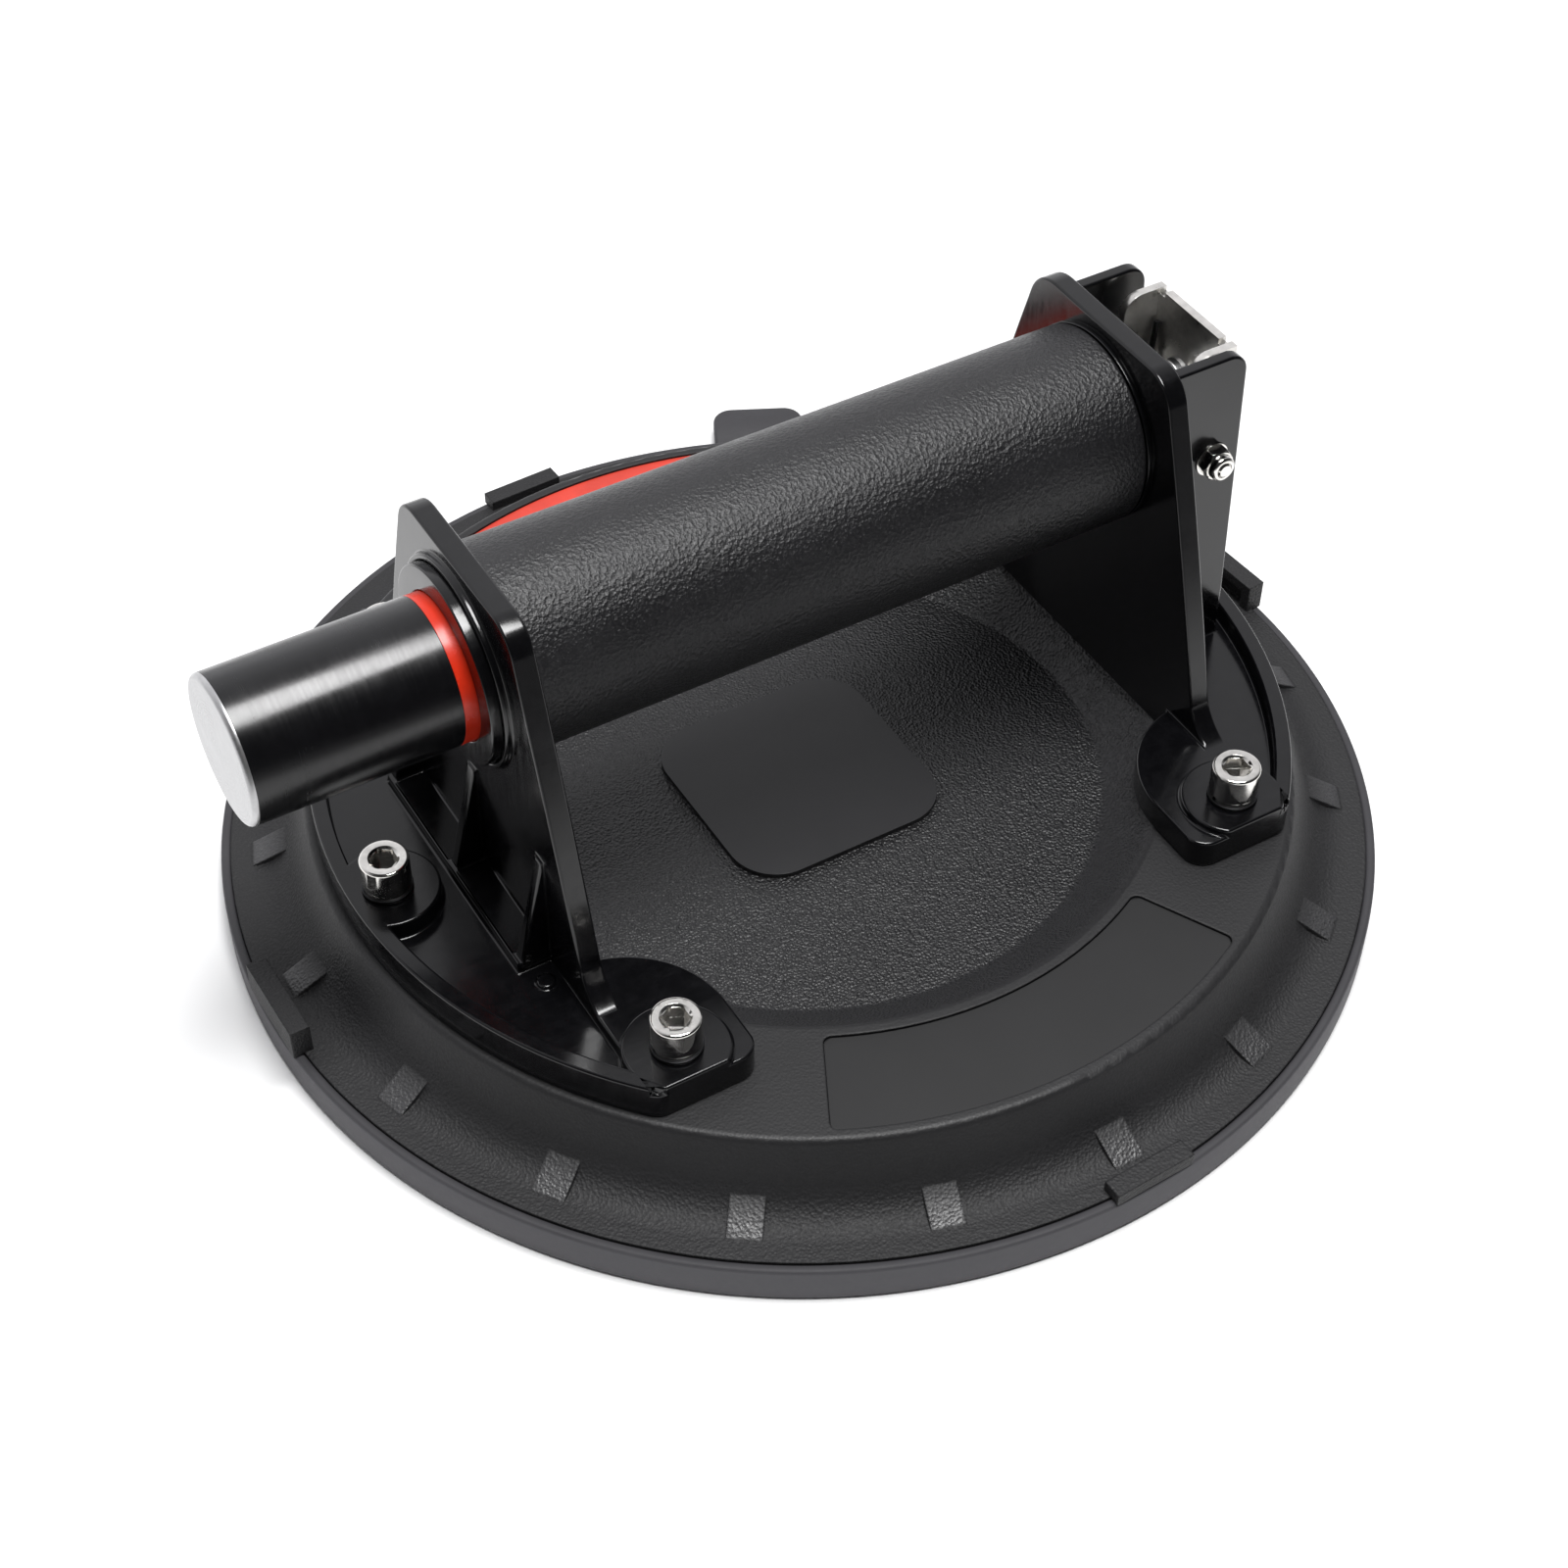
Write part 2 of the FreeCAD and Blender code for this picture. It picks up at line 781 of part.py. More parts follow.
def make_lock_washers():
    """Spring washers, each with its slit."""
    low = screw_pad_top + plain_washer_thickness
    hole = screw_shank_radius + 0.15
    washers = []
    for x, y in all_screws:
        washer = ring(lock_washer_radius, hole, low, head_base, x, y)
        half_slit = lock_washer_slit / 2
        slit = block(x - lock_washer_radius - 1, x, y - half_slit, y + half_slit, low, head_base)
        washers.append(washer.cut(slit))
    return Part.makeCompound(washers)


def make_bracket_inserts():
    return Part.makeCompound([
        ring(insert_radius, screw_shank_radius + 0.02, screw_tip - 1, ring_top, x, y)
        for x, y in all_screws
    ])


def clamp_screw_places():
    turns = [math.radians(360 / clamp_screw_count * k) for k in range(clamp_screw_count)]
    return [(clamp_screw_circle * math.cos(t), clamp_screw_circle * math.sin(t)) for t in turns]


def clamp_screw_cone(x, y, extra=0.0):
    """The countersunk head of a clamp screw, or with extra the seat that clears it."""
    depth = clamp_screw_head_radius - clamp_screw_radius
    outer = clamp_screw_head_radius + extra
    inner = clamp_screw_radius + extra
    return Part.makeCone(outer, inner, depth, V(x, y, clamp_disc_bottom), ALONG_Z)


def make_pad_clamp_screws():
    """Flat-head screws that hold the clamp disc, the pad and the hub together."""
    screws = []
    neck = clamp_disc_bottom + clamp_screw_head_radius - clamp_screw_radius
    for x, y in clamp_screw_places():
        shank = disc(clamp_screw_radius, neck, dish_floor - 3, x, y)
        slot = block(x - 2, x + 2, y - 0.35, y + 0.35, 0, clamp_disc_bottom + 0.5)
        screws.append(fused([clamp_screw_cone(x, y), shank]).cut(slot))
    return Part.makeCompound(screws)


def with_clamp_holes(shape):
    for x, y in clamp_screw_places():
        shape = shape.cut(clamp_screw_cone(x, y, 0.1))
        shape = shape.cut(disc(clamp_screw_radius + 0.1, 0, base_bottom, x, y))
    return shape


# ---- vacuum port ----
def make_port_filter():
    """A foam plug in the pad's own hole under the port."""
    return disc(port_filter_radius, pad_recess_depth + 0.7, base_bottom - 0.15, port_x)


def make_port_seal():
    bore = port_radius + 0.4
    return ring(port_seal_radius, bore, ring_top - 0.85, ring_top - soft_gap, port_x)


# ---- handle and pump ----
def make_grip_sleeve():
    sleeve = tube_x(grip_radius, barrel_radius + running_gap, -plate_inner_x, grip_end_x)
    return sleeve.cut(vent_hole())


def make_grip_end_ring():
    return tube_x(grip_radius, barrel_radius + running_gap, end_ring_x, plate_inner_x)


def vent_hole():
    """The exhaust leaves through one hole under the handle."""
    return disc(vent_radius, axis_z - grip_radius - 4, axis_z - seal_groove_radius, vent_x)


def make_barrel():
    return tube_x(barrel_radius, barrel_bore, -plate_outer_x, plate_inner_x).cut(vent_hole())


def make_guide_bush():
    bore = plunger_radius + running_gap
    flange = tube_x(bush_radius, bore, bush_flange_x, -plate_outer_x)
    body = tube_x(barrel_bore - 0.02, bore, -plate_outer_x - 0.5, bush_end_x)
    return fused([flange, body])


def make_plunger_sleeve():
    start = plunger_end_x + cap_head_length
    end = piston_end_x - piston_length
    body = tube_x(plunger_radius, plunger_bore, start, end)
    groove_bottom = plunger_radius - band_thickness
    groove = tube_x(plunger_radius + 1, groove_bottom, band_outer_x, band_inner_x)
    return body.cut(groove)


def make_indicator_band():
    inner = plunger_radius - band_thickness
    return tube_x(plunger_radius, inner, band_outer_x, band_inner_x)


def make_plunger_cap():
    """A plug that closes the outer end, with a rounded rim."""
    head = rod_x(plunger_radius, plunger_end_x, plunger_end_x + cap_head_length)
    rim = [edge for edge in head.Edges if edge.BoundBox.XMax < plunger_end_x + 0.01]
    head = head.makeFillet(cap_edge_round, rim)
    plug = rod_x(plunger_bore - 0.02, plunger_end_x + 0.5, plunger_end_x + cap_thickness)
    return fused([head, plug])


def seal_groove(start):
    end = start + seal_width + running_gap
    return tube_x(barrel_bore, seal_groove_radius, start - running_gap, end)


def seal_ring(start):
    inner = seal_groove_radius + 0.1
    return tube_x(barrel_bore - running_gap, inner, start, start + seal_width)


def make_piston_ring():
    start = piston_end_x - piston_length
    head = tube_x(barrel_bore - 0.1, piston_bore, start, piston_end_x)
    spigot = tube_x(plunger_bore - 0.02, piston_bore, start - piston_length, start + 0.5)
    return fused([head, spigot]).cut(seal_groove(piston_end_x - 4.0))


def make_piston_seal():
    return seal_ring(piston_end_x - 4.0)


def make_return_spring():
    start = plunger_end_x + cap_thickness + 0.1
    end = valve_face_x - 0.1
    return spring_x(
        return_spring_radius, return_spring_wire, start, end, return_spring_turns
    )


# ---- valves ----
def make_valve_block():
    body = rod_x(barrel_bore - 0.1, valve_face_x, valve_back_x)
    vent = disc(vent_radius, exhaust_z - barrel_bore, exhaust_z, vent_x)
    cavities = [
        seal_groove(valve_back_x - 3.0),
        rod_x(intake_bore, valve_face_x, intake_wall_x),
        rod_x(intake_stem_radius + 0.1, intake_wall_x, valve_back_x),
        rod_x(exhaust_bore, valve_face_x, exhaust_pocket_x, 0, exhaust_z),
        rod_x(exhaust_pocket_radius, exhaust_pocket_x, valve_back_x, 0, exhaust_z),
        vent,
    ]
    for k in range(air_hole_count):
        turn = math.radians(360 / air_hole_count * (k + 0.5))
        y = air_hole_circle * math.cos(turn)
        z = axis_z + air_hole_circle * math.sin(turn)
        cavities.append(rod_x(air_hole_radius, intake_wall_x, valve_back_x, y, z))
    for cavity in cavities:
        body = body.cut(cavity)
    return body


def make_valve_block_seal():
    return seal_ring(valve_back_x - 3.0)


def make_intake_valve():
    """A poppet that lifts towards the pump chamber."""
    retainer_x = valve_back_x + intake_lift
    head = rod_x(intake_head_radius, valve_face_x - 1.3, valve_face_x - 0.02)
    stem = rod_x(intake_stem_radius, valve_face_x - 0.5, retainer_x + 1)
    retainer = rod_x(intake_retainer_radius, retainer_x, retainer_x + 1)
    return fused([head, stem, retainer])


def make_intake_spring():
    start = valve_back_x + 0.05
    end = valve_back_x + intake_lift - 0.05
    return spring_x(valve_spring_radius, valve_spring_wire, start, end, 5)


def make_exhaust_valve():
    """A poppet that lifts away from the pump chamber."""
    head_end = exhaust_pocket_x + 1.2
    head = rod_x(exhaust_head_radius, exhaust_pocket_x + 0.02, head_end, 0, exhaust_z)
    stem = rod_x(exhaust_stem_radius, head_end - 0.2, exhaust_plug_x + 0.8, 0, exhaust_z)
    return fused([head, stem])


def make_exhaust_spring():
    start = exhaust_pocket_x + 1.25
    end = exhaust_plug_x - 0.05
    return spring_x(valve_spring_radius, valve_spring_wire, start, end, 6, 0, exhaust_z)


def make_exhaust_plug():
    outer = exhaust_pocket_radius - 0.02
    inner = exhaust_stem_radius + 0.1
    return tube_x(outer, inner, exhaust_plug_x, valve_back_x, 0, exhaust_z)


# ---- release valve ----
def make_release_body():
    """A short boss on the plate that guides the stem."""
    start = plate_outer_x
    body = rod_x(release_body_radius, start, release_body_end, 0, release_z)
    rim = [edge for edge in body.Edges if edge.BoundBox.XMin > release_body_end - 0.01]
    body = body.makeChamfer(0.8, rim)
    chamber_end = release_body_end - release_body_floor
    chamber = rod_x(stem_head_radius, start, chamber_end, 0, release_z)
    guide = rod_x(stem_radius + running_gap, start, release_body_end, 0, release_z)
    inlet = disc(1.0, release_z - release_body_radius - 2, release_z, start + 2)
    return body.cut(chamber).cut(guide).cut(inlet)


def make_release_stem():
    disc_end = stem_disc_x + stem_disc_thickness
    cone_x = stem_tip_x - stem_head_cone
    closing_disc = rod_x(stem_disc_radius, stem_disc_x, disc_end, 0, release_z)
    stem = rod_x(stem_radius, stem_disc_x, stem_head_x + 0.5, 0, release_z)
    collar = rod_x(stem_head_radius, stem_head_x, cone_x, 0, release_z)
    cone_place = V(cone_x, 0, release_z)
    head = Part.makeCone(
        stem_head_radius, stem_head_radius / 2, stem_head_cone, cone_place, ALONG_X
    )
    return fused([closing_disc, stem, collar, head])


def make_release_seal():
    start = stem_disc_x + stem_disc_thickness + 0.02
    outer = stem_disc_radius - 0.3
    return tube_x(outer, stem_radius + 0.02, start, plate_inner_x - 0.05, 0, release_z)


def make_release_spring():
    start = release_body_end + 0.05
    end = stem_head_x - 0.05
    return spring_x(release_spring_radius, release_spring_wire, start, end, 5, 0, release_z)


# ---- release lever ----
def make_release_lever():
    """A pressed U channel: web outboard, two arms that hold the pivot."""
    half = lever_half_width
    outer_x = lever_web_x + lever_metal
    outline = polygon([
        V(outer_x, -half, lever_bottom),
        V(outer_x, -half, lever_top),
        V(lever_arm_x, -half, lever_top),
        V(lever_arm_x, -half, pivot_z - 6),
        V(outer_x - 5, -half, lever_bottom),
    ])
    channel = prism(outline, V(0, 2 * half, 0))
    corners = [
        edge for edge in channel.Edges
        if edge.BoundBox.YLength > 2 * half - 0.01
        and edge.BoundBox.XMax < lever_arm_x + 0.01 and edge.BoundBox.ZMin > lever_top - 1
    ]
    channel = channel.makeFillet(lever_corner, corners)
    inside = block(
        lever_arm_x - 5,
        lever_web_x,
        lever_metal - half,
        half - lever_metal,
        lever_bottom - 1,
        lever_top + 1,
    )
    body = channel.cut(inside)
    notch_width, notch_depth = lever_notch
    notch_low = lever_top - notch_depth
    for low_y in (lever_metal - half, half - lever_metal - notch_width):
        high_y = low_y + notch_width
        body = body.cut(
            block(lever_web_x - 0.1, outer_x + 1, low_y, high_y, notch_low, lever_top)
        )
    return body.cut(rod_y(pivot_radius + 0.05, -half, half, pivot_x, pivot_z))


def make_pivot_bush():
    reach = lever_half_width - lever_metal - 0.1
    outer = rod_y(pivot_bush_radius, -reach, reach, pivot_x, pivot_z)
    return outer.cut(rod_y(pivot_radius + 0.05, -reach, reach, pivot_x, pivot_z))


def make_lever_spring():
    """A torsion spring on the pivot bush: one leg up the lever's web, one out to the plate."""
    wire = lever_spring_wire
    mean = pivot_bush_radius + 0.1 + wire
    pitch = 2 * wire + 0.06
    length = lever_spring_turns * pitch
    first_y = lever_spring_leg_y - length
    section = Part.Circle(V(mean, 0, 0), ALONG_Y, wire).toShape()
    helix = Part.makeLongHelix(pitch, length, mean, 0, True)
    coil = Part.Wire(helix).makePipeShell([Part.Wire(section)], True, True)
    coil.rotate(ORIGIN, ALONG_X, -90)
    coil.rotate(ORIGIN, ALONG_Y, 90)
    coil.translate(V(pivot_x, first_y, pivot_z))
    below = V(pivot_x, first_y, pivot_z - mean)
    outboard = V(pivot_x + mean, lever_spring_leg_y, pivot_z)
    plate_tip = V(plate_outer_x + 0.7, first_y, below.z)
    web_tip = V(lever_web_x - wire - 0.05, lever_spring_leg_y, lever_spring_tip_z)
    for start, end in ((below, plate_tip), (outboard, web_tip)):
        along = end - start
        coil = coil.fuse(Part.makeSphere(wire * 1.1, start))
        coil = coil.fuse(Part.makeCylinder(wire, along.Length, start, along))
    return coil


def make_lever_spacers():
    spacers = []
    for low in (lever_half_width + 0.1, 0.1 - housing_inner_y):
        high = low + housing_inner_y - lever_half_width - 0.2
        outer = rod_y(spacer_radius, low, high, pivot_x, pivot_z)
        spacers.append(outer.cut(rod_y(pivot_radius + 0.05, low, high, pivot_x, pivot_z)))
    return Part.makeCompound(spacers)


def make_pivot_bolt():
    """An M3 bolt along Y: hexagon head at the back, thread end at the front."""
    head_start = housing_outer_y
    end = -housing_outer_y - nut_thickness - nut_collar_length - 0.3
    shank = rod_y(pivot_radius, end, head_start + 0.5, pivot_x, pivot_z)
    tip = [edge for edge in shank.Edges if edge.BoundBox.YMax < end + 0.1]
    shank = shank.makeChamfer(0.4, tip)
    head = hexagon_y(nut_across_flats, head_start, head_start + 2.0, pivot_x, pivot_z)
    return fused([shank, head])


def make_pivot_nut():
    """A hexagon lock nut with a washer face and a rounded locking collar."""
    face = -housing_outer_y
    end = face - nut_thickness
    nut = hexagon_y(nut_across_flats, end, face - 0.3, pivot_x, pivot_z)
    round_limit = rod_y(3.15, end, face - 0.3, pivot_x, pivot_z)
    outer = [edge for edge in round_limit.Edges if edge.BoundBox.YMax < end + 0.1]
    nut = nut.common(round_limit.makeChamfer(0.4, outer))
    washer = rod_y(3.3, face - 0.3, face, pivot_x, pivot_z)
    tip = end - nut_collar_length
    collar = rod_y(nut_collar_radius, tip, end + 0.1, pivot_x, pivot_z)
    rounded = [edge for edge in collar.Edges if edge.BoundBox.YMax < tip + 0.01]
    collar = collar.makeFillet(0.6, rounded)
    hole = rod_y(pivot_radius + 0.02, tip, face, pivot_x, pivot_z)
    return fused([nut, washer, collar]).cut(hole)


parts = {
    "suction_pad": with_clamp_holes(make_suction_pad()),
    "pad_clamp_disc": with_clamp_holes(make_pad_clamp_disc()),
    "pad_clamp_screws": make_pad_clamp_screws(),
    "base_plate": make_base_plate(),
    "centre_badge": make_centre_badge(),
    "front_label": make_label(-90),
    "rear_label": make_label(90),
    "port_filter": make_port_filter(),
    "port_seal": make_port_seal(),
    "pump_bracket": make_pump_bracket(),
    "lever_bracket": make_lever_bracket(),
    "bracket_screws": make_bracket_screws(),
    "bracket_plain_washers": make_plain_washers(),
    "bracket_lock_washers": make_lock_washers(),
    "bracket_inserts": make_bracket_inserts(),
    "grip_sleeve": make_grip_sleeve(),
    "grip_end_ring": make_grip_end_ring(),
    "barrel": make_barrel(),
    "guide_bush": make_guide_bush(),
    "plunger_sleeve": make_plunger_sleeve(),
    "indicator_band": make_indicator_band(),
    "plunger_cap": make_plunger_cap(),
    "piston_ring": make_piston_ring(),
    "piston_seal": make_piston_seal(),
    "return_spring": make_return_spring(),
    "valve_block": make_valve_block(),
    "valve_block_seal": make_valve_block_seal(),
    "intake_valve": make_intake_valve(),
    "intake_spring": make_intake_spring(),
    "exhaust_valve": make_exhaust_valve(),
    "exhaust_spring": make_exhaust_spring(),
    "exhaust_plug": make_exhaust_plug(),
    "release_body": make_release_body(),
    "release_stem": make_release_stem(),
    "release_seal": make_release_seal(),
    "release_spring": make_release_spring(),
    "release_lever": make_release_lever(),
    "pivot_bush": make_pivot_bush(),
    "lever_spring": make_lever_spring(),
    "lever_spacers": make_lever_spacers(),
    "pivot_bolt": make_pivot_bolt(),
    "pivot_nut": make_pivot_nut(),
}

os.makedirs("parts", exist_ok=True)
for name, shape in parts.items():
    shape.exportStep("parts/" + name + ".step")
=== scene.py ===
import math

import bpy
from mathutils import Matrix, Vector, noise


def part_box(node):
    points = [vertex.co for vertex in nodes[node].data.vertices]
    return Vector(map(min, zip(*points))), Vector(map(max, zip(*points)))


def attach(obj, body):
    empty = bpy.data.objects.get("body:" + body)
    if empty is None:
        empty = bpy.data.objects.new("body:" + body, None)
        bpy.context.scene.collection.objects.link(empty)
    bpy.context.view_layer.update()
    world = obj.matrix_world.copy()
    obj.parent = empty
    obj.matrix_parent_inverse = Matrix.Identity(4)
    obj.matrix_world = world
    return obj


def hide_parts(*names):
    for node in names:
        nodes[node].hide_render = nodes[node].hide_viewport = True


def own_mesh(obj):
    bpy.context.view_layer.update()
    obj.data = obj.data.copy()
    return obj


# Looks of the hand-pumped vacuum cup. Metres, in the CAD model's own frame.

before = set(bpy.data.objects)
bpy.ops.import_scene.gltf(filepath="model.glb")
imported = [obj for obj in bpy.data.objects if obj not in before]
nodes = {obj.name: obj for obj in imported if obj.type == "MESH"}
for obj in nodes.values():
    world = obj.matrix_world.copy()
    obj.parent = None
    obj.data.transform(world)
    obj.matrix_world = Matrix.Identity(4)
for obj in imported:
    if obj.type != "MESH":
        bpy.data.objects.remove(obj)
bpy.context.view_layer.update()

MM = 0.001

# Colours, as linear red, green and blue.
BLACK_PLASTIC = (0.0090, 0.0088, 0.0100)
GLOSS_BLACK = (0.0025, 0.0025, 0.0030)
# Painted highlight: the lighter tint laid on the rib tops.
RIB_PAINTED_HIGHLIGHT = (0.030, 0.029, 0.032)
INNER_PLASTIC = (0.05, 0.05, 0.053)
RUBBER = (0.040, 0.039, 0.043)
SEAL_RUBBER = (0.02, 0.02, 0.02)
RED = (0.62, 0.028, 0.008)
LABEL_RED = (0.60, 0.045, 0.025)
CHROME = (0.92, 0.90, 0.86)
STEEL = (0.50, 0.50, 0.50)
DARK_STEEL = (0.055, 0.055, 0.058)
BRASS = (0.72, 0.50, 0.20)
TURNED_DARK = (0.40, 0.40, 0.405)
TURNED_LIGHT = (0.56, 0.56, 0.565)
FOAM_DARK = (0.05, 0.05, 0.052)
FOAM_LIGHT = (0.24, 0.24, 0.25)

# How far upright rubber faces are painted lighter, from 0 to 1: painted light on the pad's side band.
UPRIGHT_PAINTED_LIGHT = 0.5

# Zones of the base plate, by distance from its centre. The ribs stand proud of a hollow rim fillet.
RING_INNER = 65.5 * MM
LABEL_TO_SHOULDER = 2.1 * MM
RIM_FILLET = 8 * MM
RIM_FILLET_CENTRE = (99.5 * MM, 15.6 * MM)
RIB_PROUD = (0.12 * MM, 0.3 * MM)
RIB_FADE_IN = (93.0 * MM, 97.5 * MM)
RIB_FADE_OUT = (99.6 * MM, 99.9 * MM)

# The rubber pad, its sealing ridges and its pull tab.
PAD_STEPS = 360
PAD_CEILING = 1.5 * MM
PAD_FLOOR = 4.4 * MM
PAD_SEAT = 103.28 * MM
SEAT_LIP = 0.35 * MM
BAND_FROM = 3.4 * MM
BAND_TOP_DROP = 0.5 * MM
SEAT_STEP = 0.2 * MM
FOOT_WIDTH = 6 * MM
FOOT_ROUND = 0.9 * MM
BAND_ROUND = 0.7 * MM
RIDGE_RADII = (34 * MM, 48 * MM, 62 * MM)
RIDGE_BOTTOM = 0.6 * MM
RIDGE_HALF_WIDTH = 1.6 * MM
RIDGE_OFFSETS = (-1.1 * MM, -0.6 * MM, 0.0, 0.6 * MM, 1.1 * MM)
OUTER_LIP = ((77.5 * MM, 1.5 * MM), (78.6 * MM, 1.1 * MM), (79.6 * MM, 0.25 * MM), (80.6 * MM, 0))
TAB_DIRECTION = 63.5
TAB_HALF_WIDTH = 9.5 * MM
TAB_ROOT_DEPTH = 1.2 * MM
TAB_REACH = 119 * MM
TAB_CORNER = 4.0 * MM
TAB_LOW = 2.0 * MM
TAB_HIGH = 4.8 * MM
TAB_EDGE = 0.7 * MM
TAB_CORNER_STEPS = 8
TAB_EDGE_STEPS = 4

# The grip sleeve and its leather grain.
GRIP_WALL = 2.45 * MM
GRIP_SKIN = 0.06 * MM
GRIP_AROUND = 330
GRIP_ALONG = 340
GRIP_LIP = 0.5 * MM
GRIP_LIP_STEPS = 3
PEBBLE_SIZE = 1.0 * MM
PEBBLE_RIM = 0.55
FINE_GRAIN_SIZE = 0.8 * MM
GRAIN_DEPTH = 0.05 * MM

# The springs.
COIL_STEPS = 32
WIRE_SIDES = 10

# Edge rounding of the CAD pieces: lengths in metres, angles in degrees.
WELD_REACH = 2e-6
FLAT_ANGLE = 0.5
SHARP_ANGLE = 32
MOULDING_SEGMENTS = 4
MOULDING_ROUND = 0.5 * MM
BASE_ROUND = 0.5 * MM

# The studio: a bright wall behind, a dim room in front, one softbox above and a pale floor.
PALE = (0.93, 0.93, 0.93)
FLOOR_DARK = (0.16, 0.16, 0.16)
FLOOR_DARK_Y = -0.22
FLOOR_LIGHT_Y = 0.10
FLOOR_NEAR = 0.17
FLOOR_FAR = 0.30
FLOOR_HALF = 3.0
FLOOR_DROP = 0.02 * MM
ROOM_TINT = (0.97, 0.97, 1.0, 1)
ROOM_DIM_AT = -0.30
ROOM_FRONT = 0.03
ROOM_BACK = 1.15
SOFTBOX_PLACE = (0.06, -0.17, 1.25)
SOFTBOX_AIM = (0, 0, 0.04)
SOFTBOX_SIZE = 0.54
SOFTBOX_WATTS = 20

# The camera: angles in degrees, lens and sensor in millimetres.
CAMERA_AZIMUTH = -30.83
CAMERA_ELEVATION = 45.46
CAMERA_ROLL = 0.34
CAMERA_DISTANCE = 509.5 * MM
CAMERA_TARGET = Vector((0.35, 5.7, 5.0)) * MM
CAMERA_LENS = 63.0
CAMERA_SENSOR = 36.0
CAMERA_NEAREST = 0.01


# ---- node-tree helpers ----
class Material:
    """A principled material with a few helpers for building its procedural inputs."""

    def __init__(self, name):
        self.data = bpy.data.materials.new(name)
        self.data.use_nodes = True
        self.tree = self.data.node_tree
        self.shader = self.tree.nodes["Principled BSDF"]
        self.place = self.add("ShaderNodeTexCoord").outputs["Object"]

    def add(self, kind, **settings):
        node = self.tree.nodes.new(kind)
        for key, value in settings.items():
            setattr(node, key, value)
        return node

    def join(self, source, target):
        self.tree.links.new(source, target)

    def fill(self, target, value):
        """Sets an input to a plain value, or joins it to another node's output."""
        if isinstance(value, bpy.types.NodeSocket):
            self.join(value, target)
        else:
            target.default_value = value

    def set(self, name, value):
        self.fill(self.shader.inputs[name], value)

    def noise(self, size, detail=4.0, roughness=0.55, place=None):
        """Noise whose features are about size metres across; gives values near 0.5."""
        node = self.add("ShaderNodeTexNoise")
        node.inputs["Scale"].default_value = 1 / size
        node.inputs["Detail"].default_value = detail
        node.inputs["Roughness"].default_value = roughness
        self.join(place or self.place, node.inputs["Vector"])
        return node.outputs["Fac"]

    def cells(self, size, feature="F1", smoothness=0.4):
        """Distance to the nearest of a set of scattered points about size metres apart."""
        node = self.add("ShaderNodeTexVoronoi", feature=feature)
        node.inputs["Scale"].default_value = 1 / size
        if feature == "SMOOTH_F1":
            node.inputs["Smoothness"].default_value = smoothness
        self.join(self.place, node.inputs["Vector"])
        return node.outputs["Distance"]

    def math(self, operation, first, second=None):
        node = self.add("ShaderNodeMath", operation=operation)
        self.fill(node.inputs[0], first)
        if second is not None:
            self.fill(node.inputs[1], second)
        return node.outputs[0]

    def spread(self, source, low, high, from_low=0.3, from_high=0.7):
        """Maps a texture's usual range onto low to high."""
        node = self.add("ShaderNodeMapRange")
        node.inputs["From Min"].default_value = from_low
        node.inputs["From Max"].default_value = from_high
        node.inputs["To Min"].default_value = low
        node.inputs["To Max"].default_value = high
        self.join(source, node.inputs["Value"])
        return node.outputs["Result"]

    def rise(self, source, start, end):
        """0 up to start, 1 from end on."""
        return self.spread(source, 0.0, 1.0, start, end)

    def fall(self, source, start, end):
        """1 up to start, 0 from end on."""
        return self.spread(source, 1.0, 0.0, start, end)

    def tint(self, source, dark, light):
        """Colour between dark and light, driven by a 0 to 1 value."""
        node = self.add("ShaderNodeMix", data_type="RGBA")
        for name, colour in (("A", dark), ("B", light)):
            target = next(slot for slot in node.inputs if slot.name == name and slot.type == "RGBA")
            self.fill(target, (*colour, 1) if isinstance(colour, tuple) else colour)
        self.join(source, node.inputs["Factor"])
        return next(slot for slot in node.outputs if slot.type == "RGBA")

    def bump(self, height, depth, strength=1.0, below=None):
        """A normal raised by height times depth, on top of the normal below."""
        node = self.add("ShaderNodeBump")
        node.inputs["Distance"].default_value = depth
        self.fill(node.inputs["Strength"], strength)
        self.join(height, node.inputs["Height"])
        if below is not None:
            self.join(below, node.inputs["Normal"])
        return node.outputs["Normal"]

    def stretched(self, scale):
        """The object's coordinates stretched along its axes, for brushed or turned marks."""
        node = self.add("ShaderNodeMapping")
        node.inputs["Scale"].default_value = scale
        self.join(self.place, node.inputs["Vector"])
        return node.outputs["Vector"]

    def radius(self, first, second):
        """Distance from the axis along which neither coordinate changes."""
        squares = self.math("ADD", self.math("MULTIPLY", first, first), self.math("MULTIPLY", second, second))
        return self.math("SQRT", squares)

    def split(self, vector):
        node = self.add("ShaderNodeSeparateXYZ")
        self.join(vector, node.inputs["Vector"])
        return node.outputs["X"], node.outputs["Y"], node.outputs["Z"]

    def facing_sideways(self):
        """0 where the surface faces up or down and 1 where it is upright."""
        upward = self.split(self.add("ShaderNodeNewGeometry").outputs["True Normal"])[2]
        return self.fall(self.math("ABSOLUTE", upward), 0.2, 0.8)

    def rounded(self, width):
        """A normal that is softened at sharp edges over the given width."""
        node = self.add("ShaderNodeBevel", samples=6)
        node.inputs["Radius"].default_value = width
        return node.outputs["Normal"]


def scaled(colour, factor):
    return tuple(channel * factor for channel in colour)


def finish_with(material, colour, roughness=None, normal=None):
    material.set("Base Color", colour)
    if roughness is not None:
        material.set("Roughness", roughness)
    if normal is not None:
        material.set("Normal", normal)
    return material.data


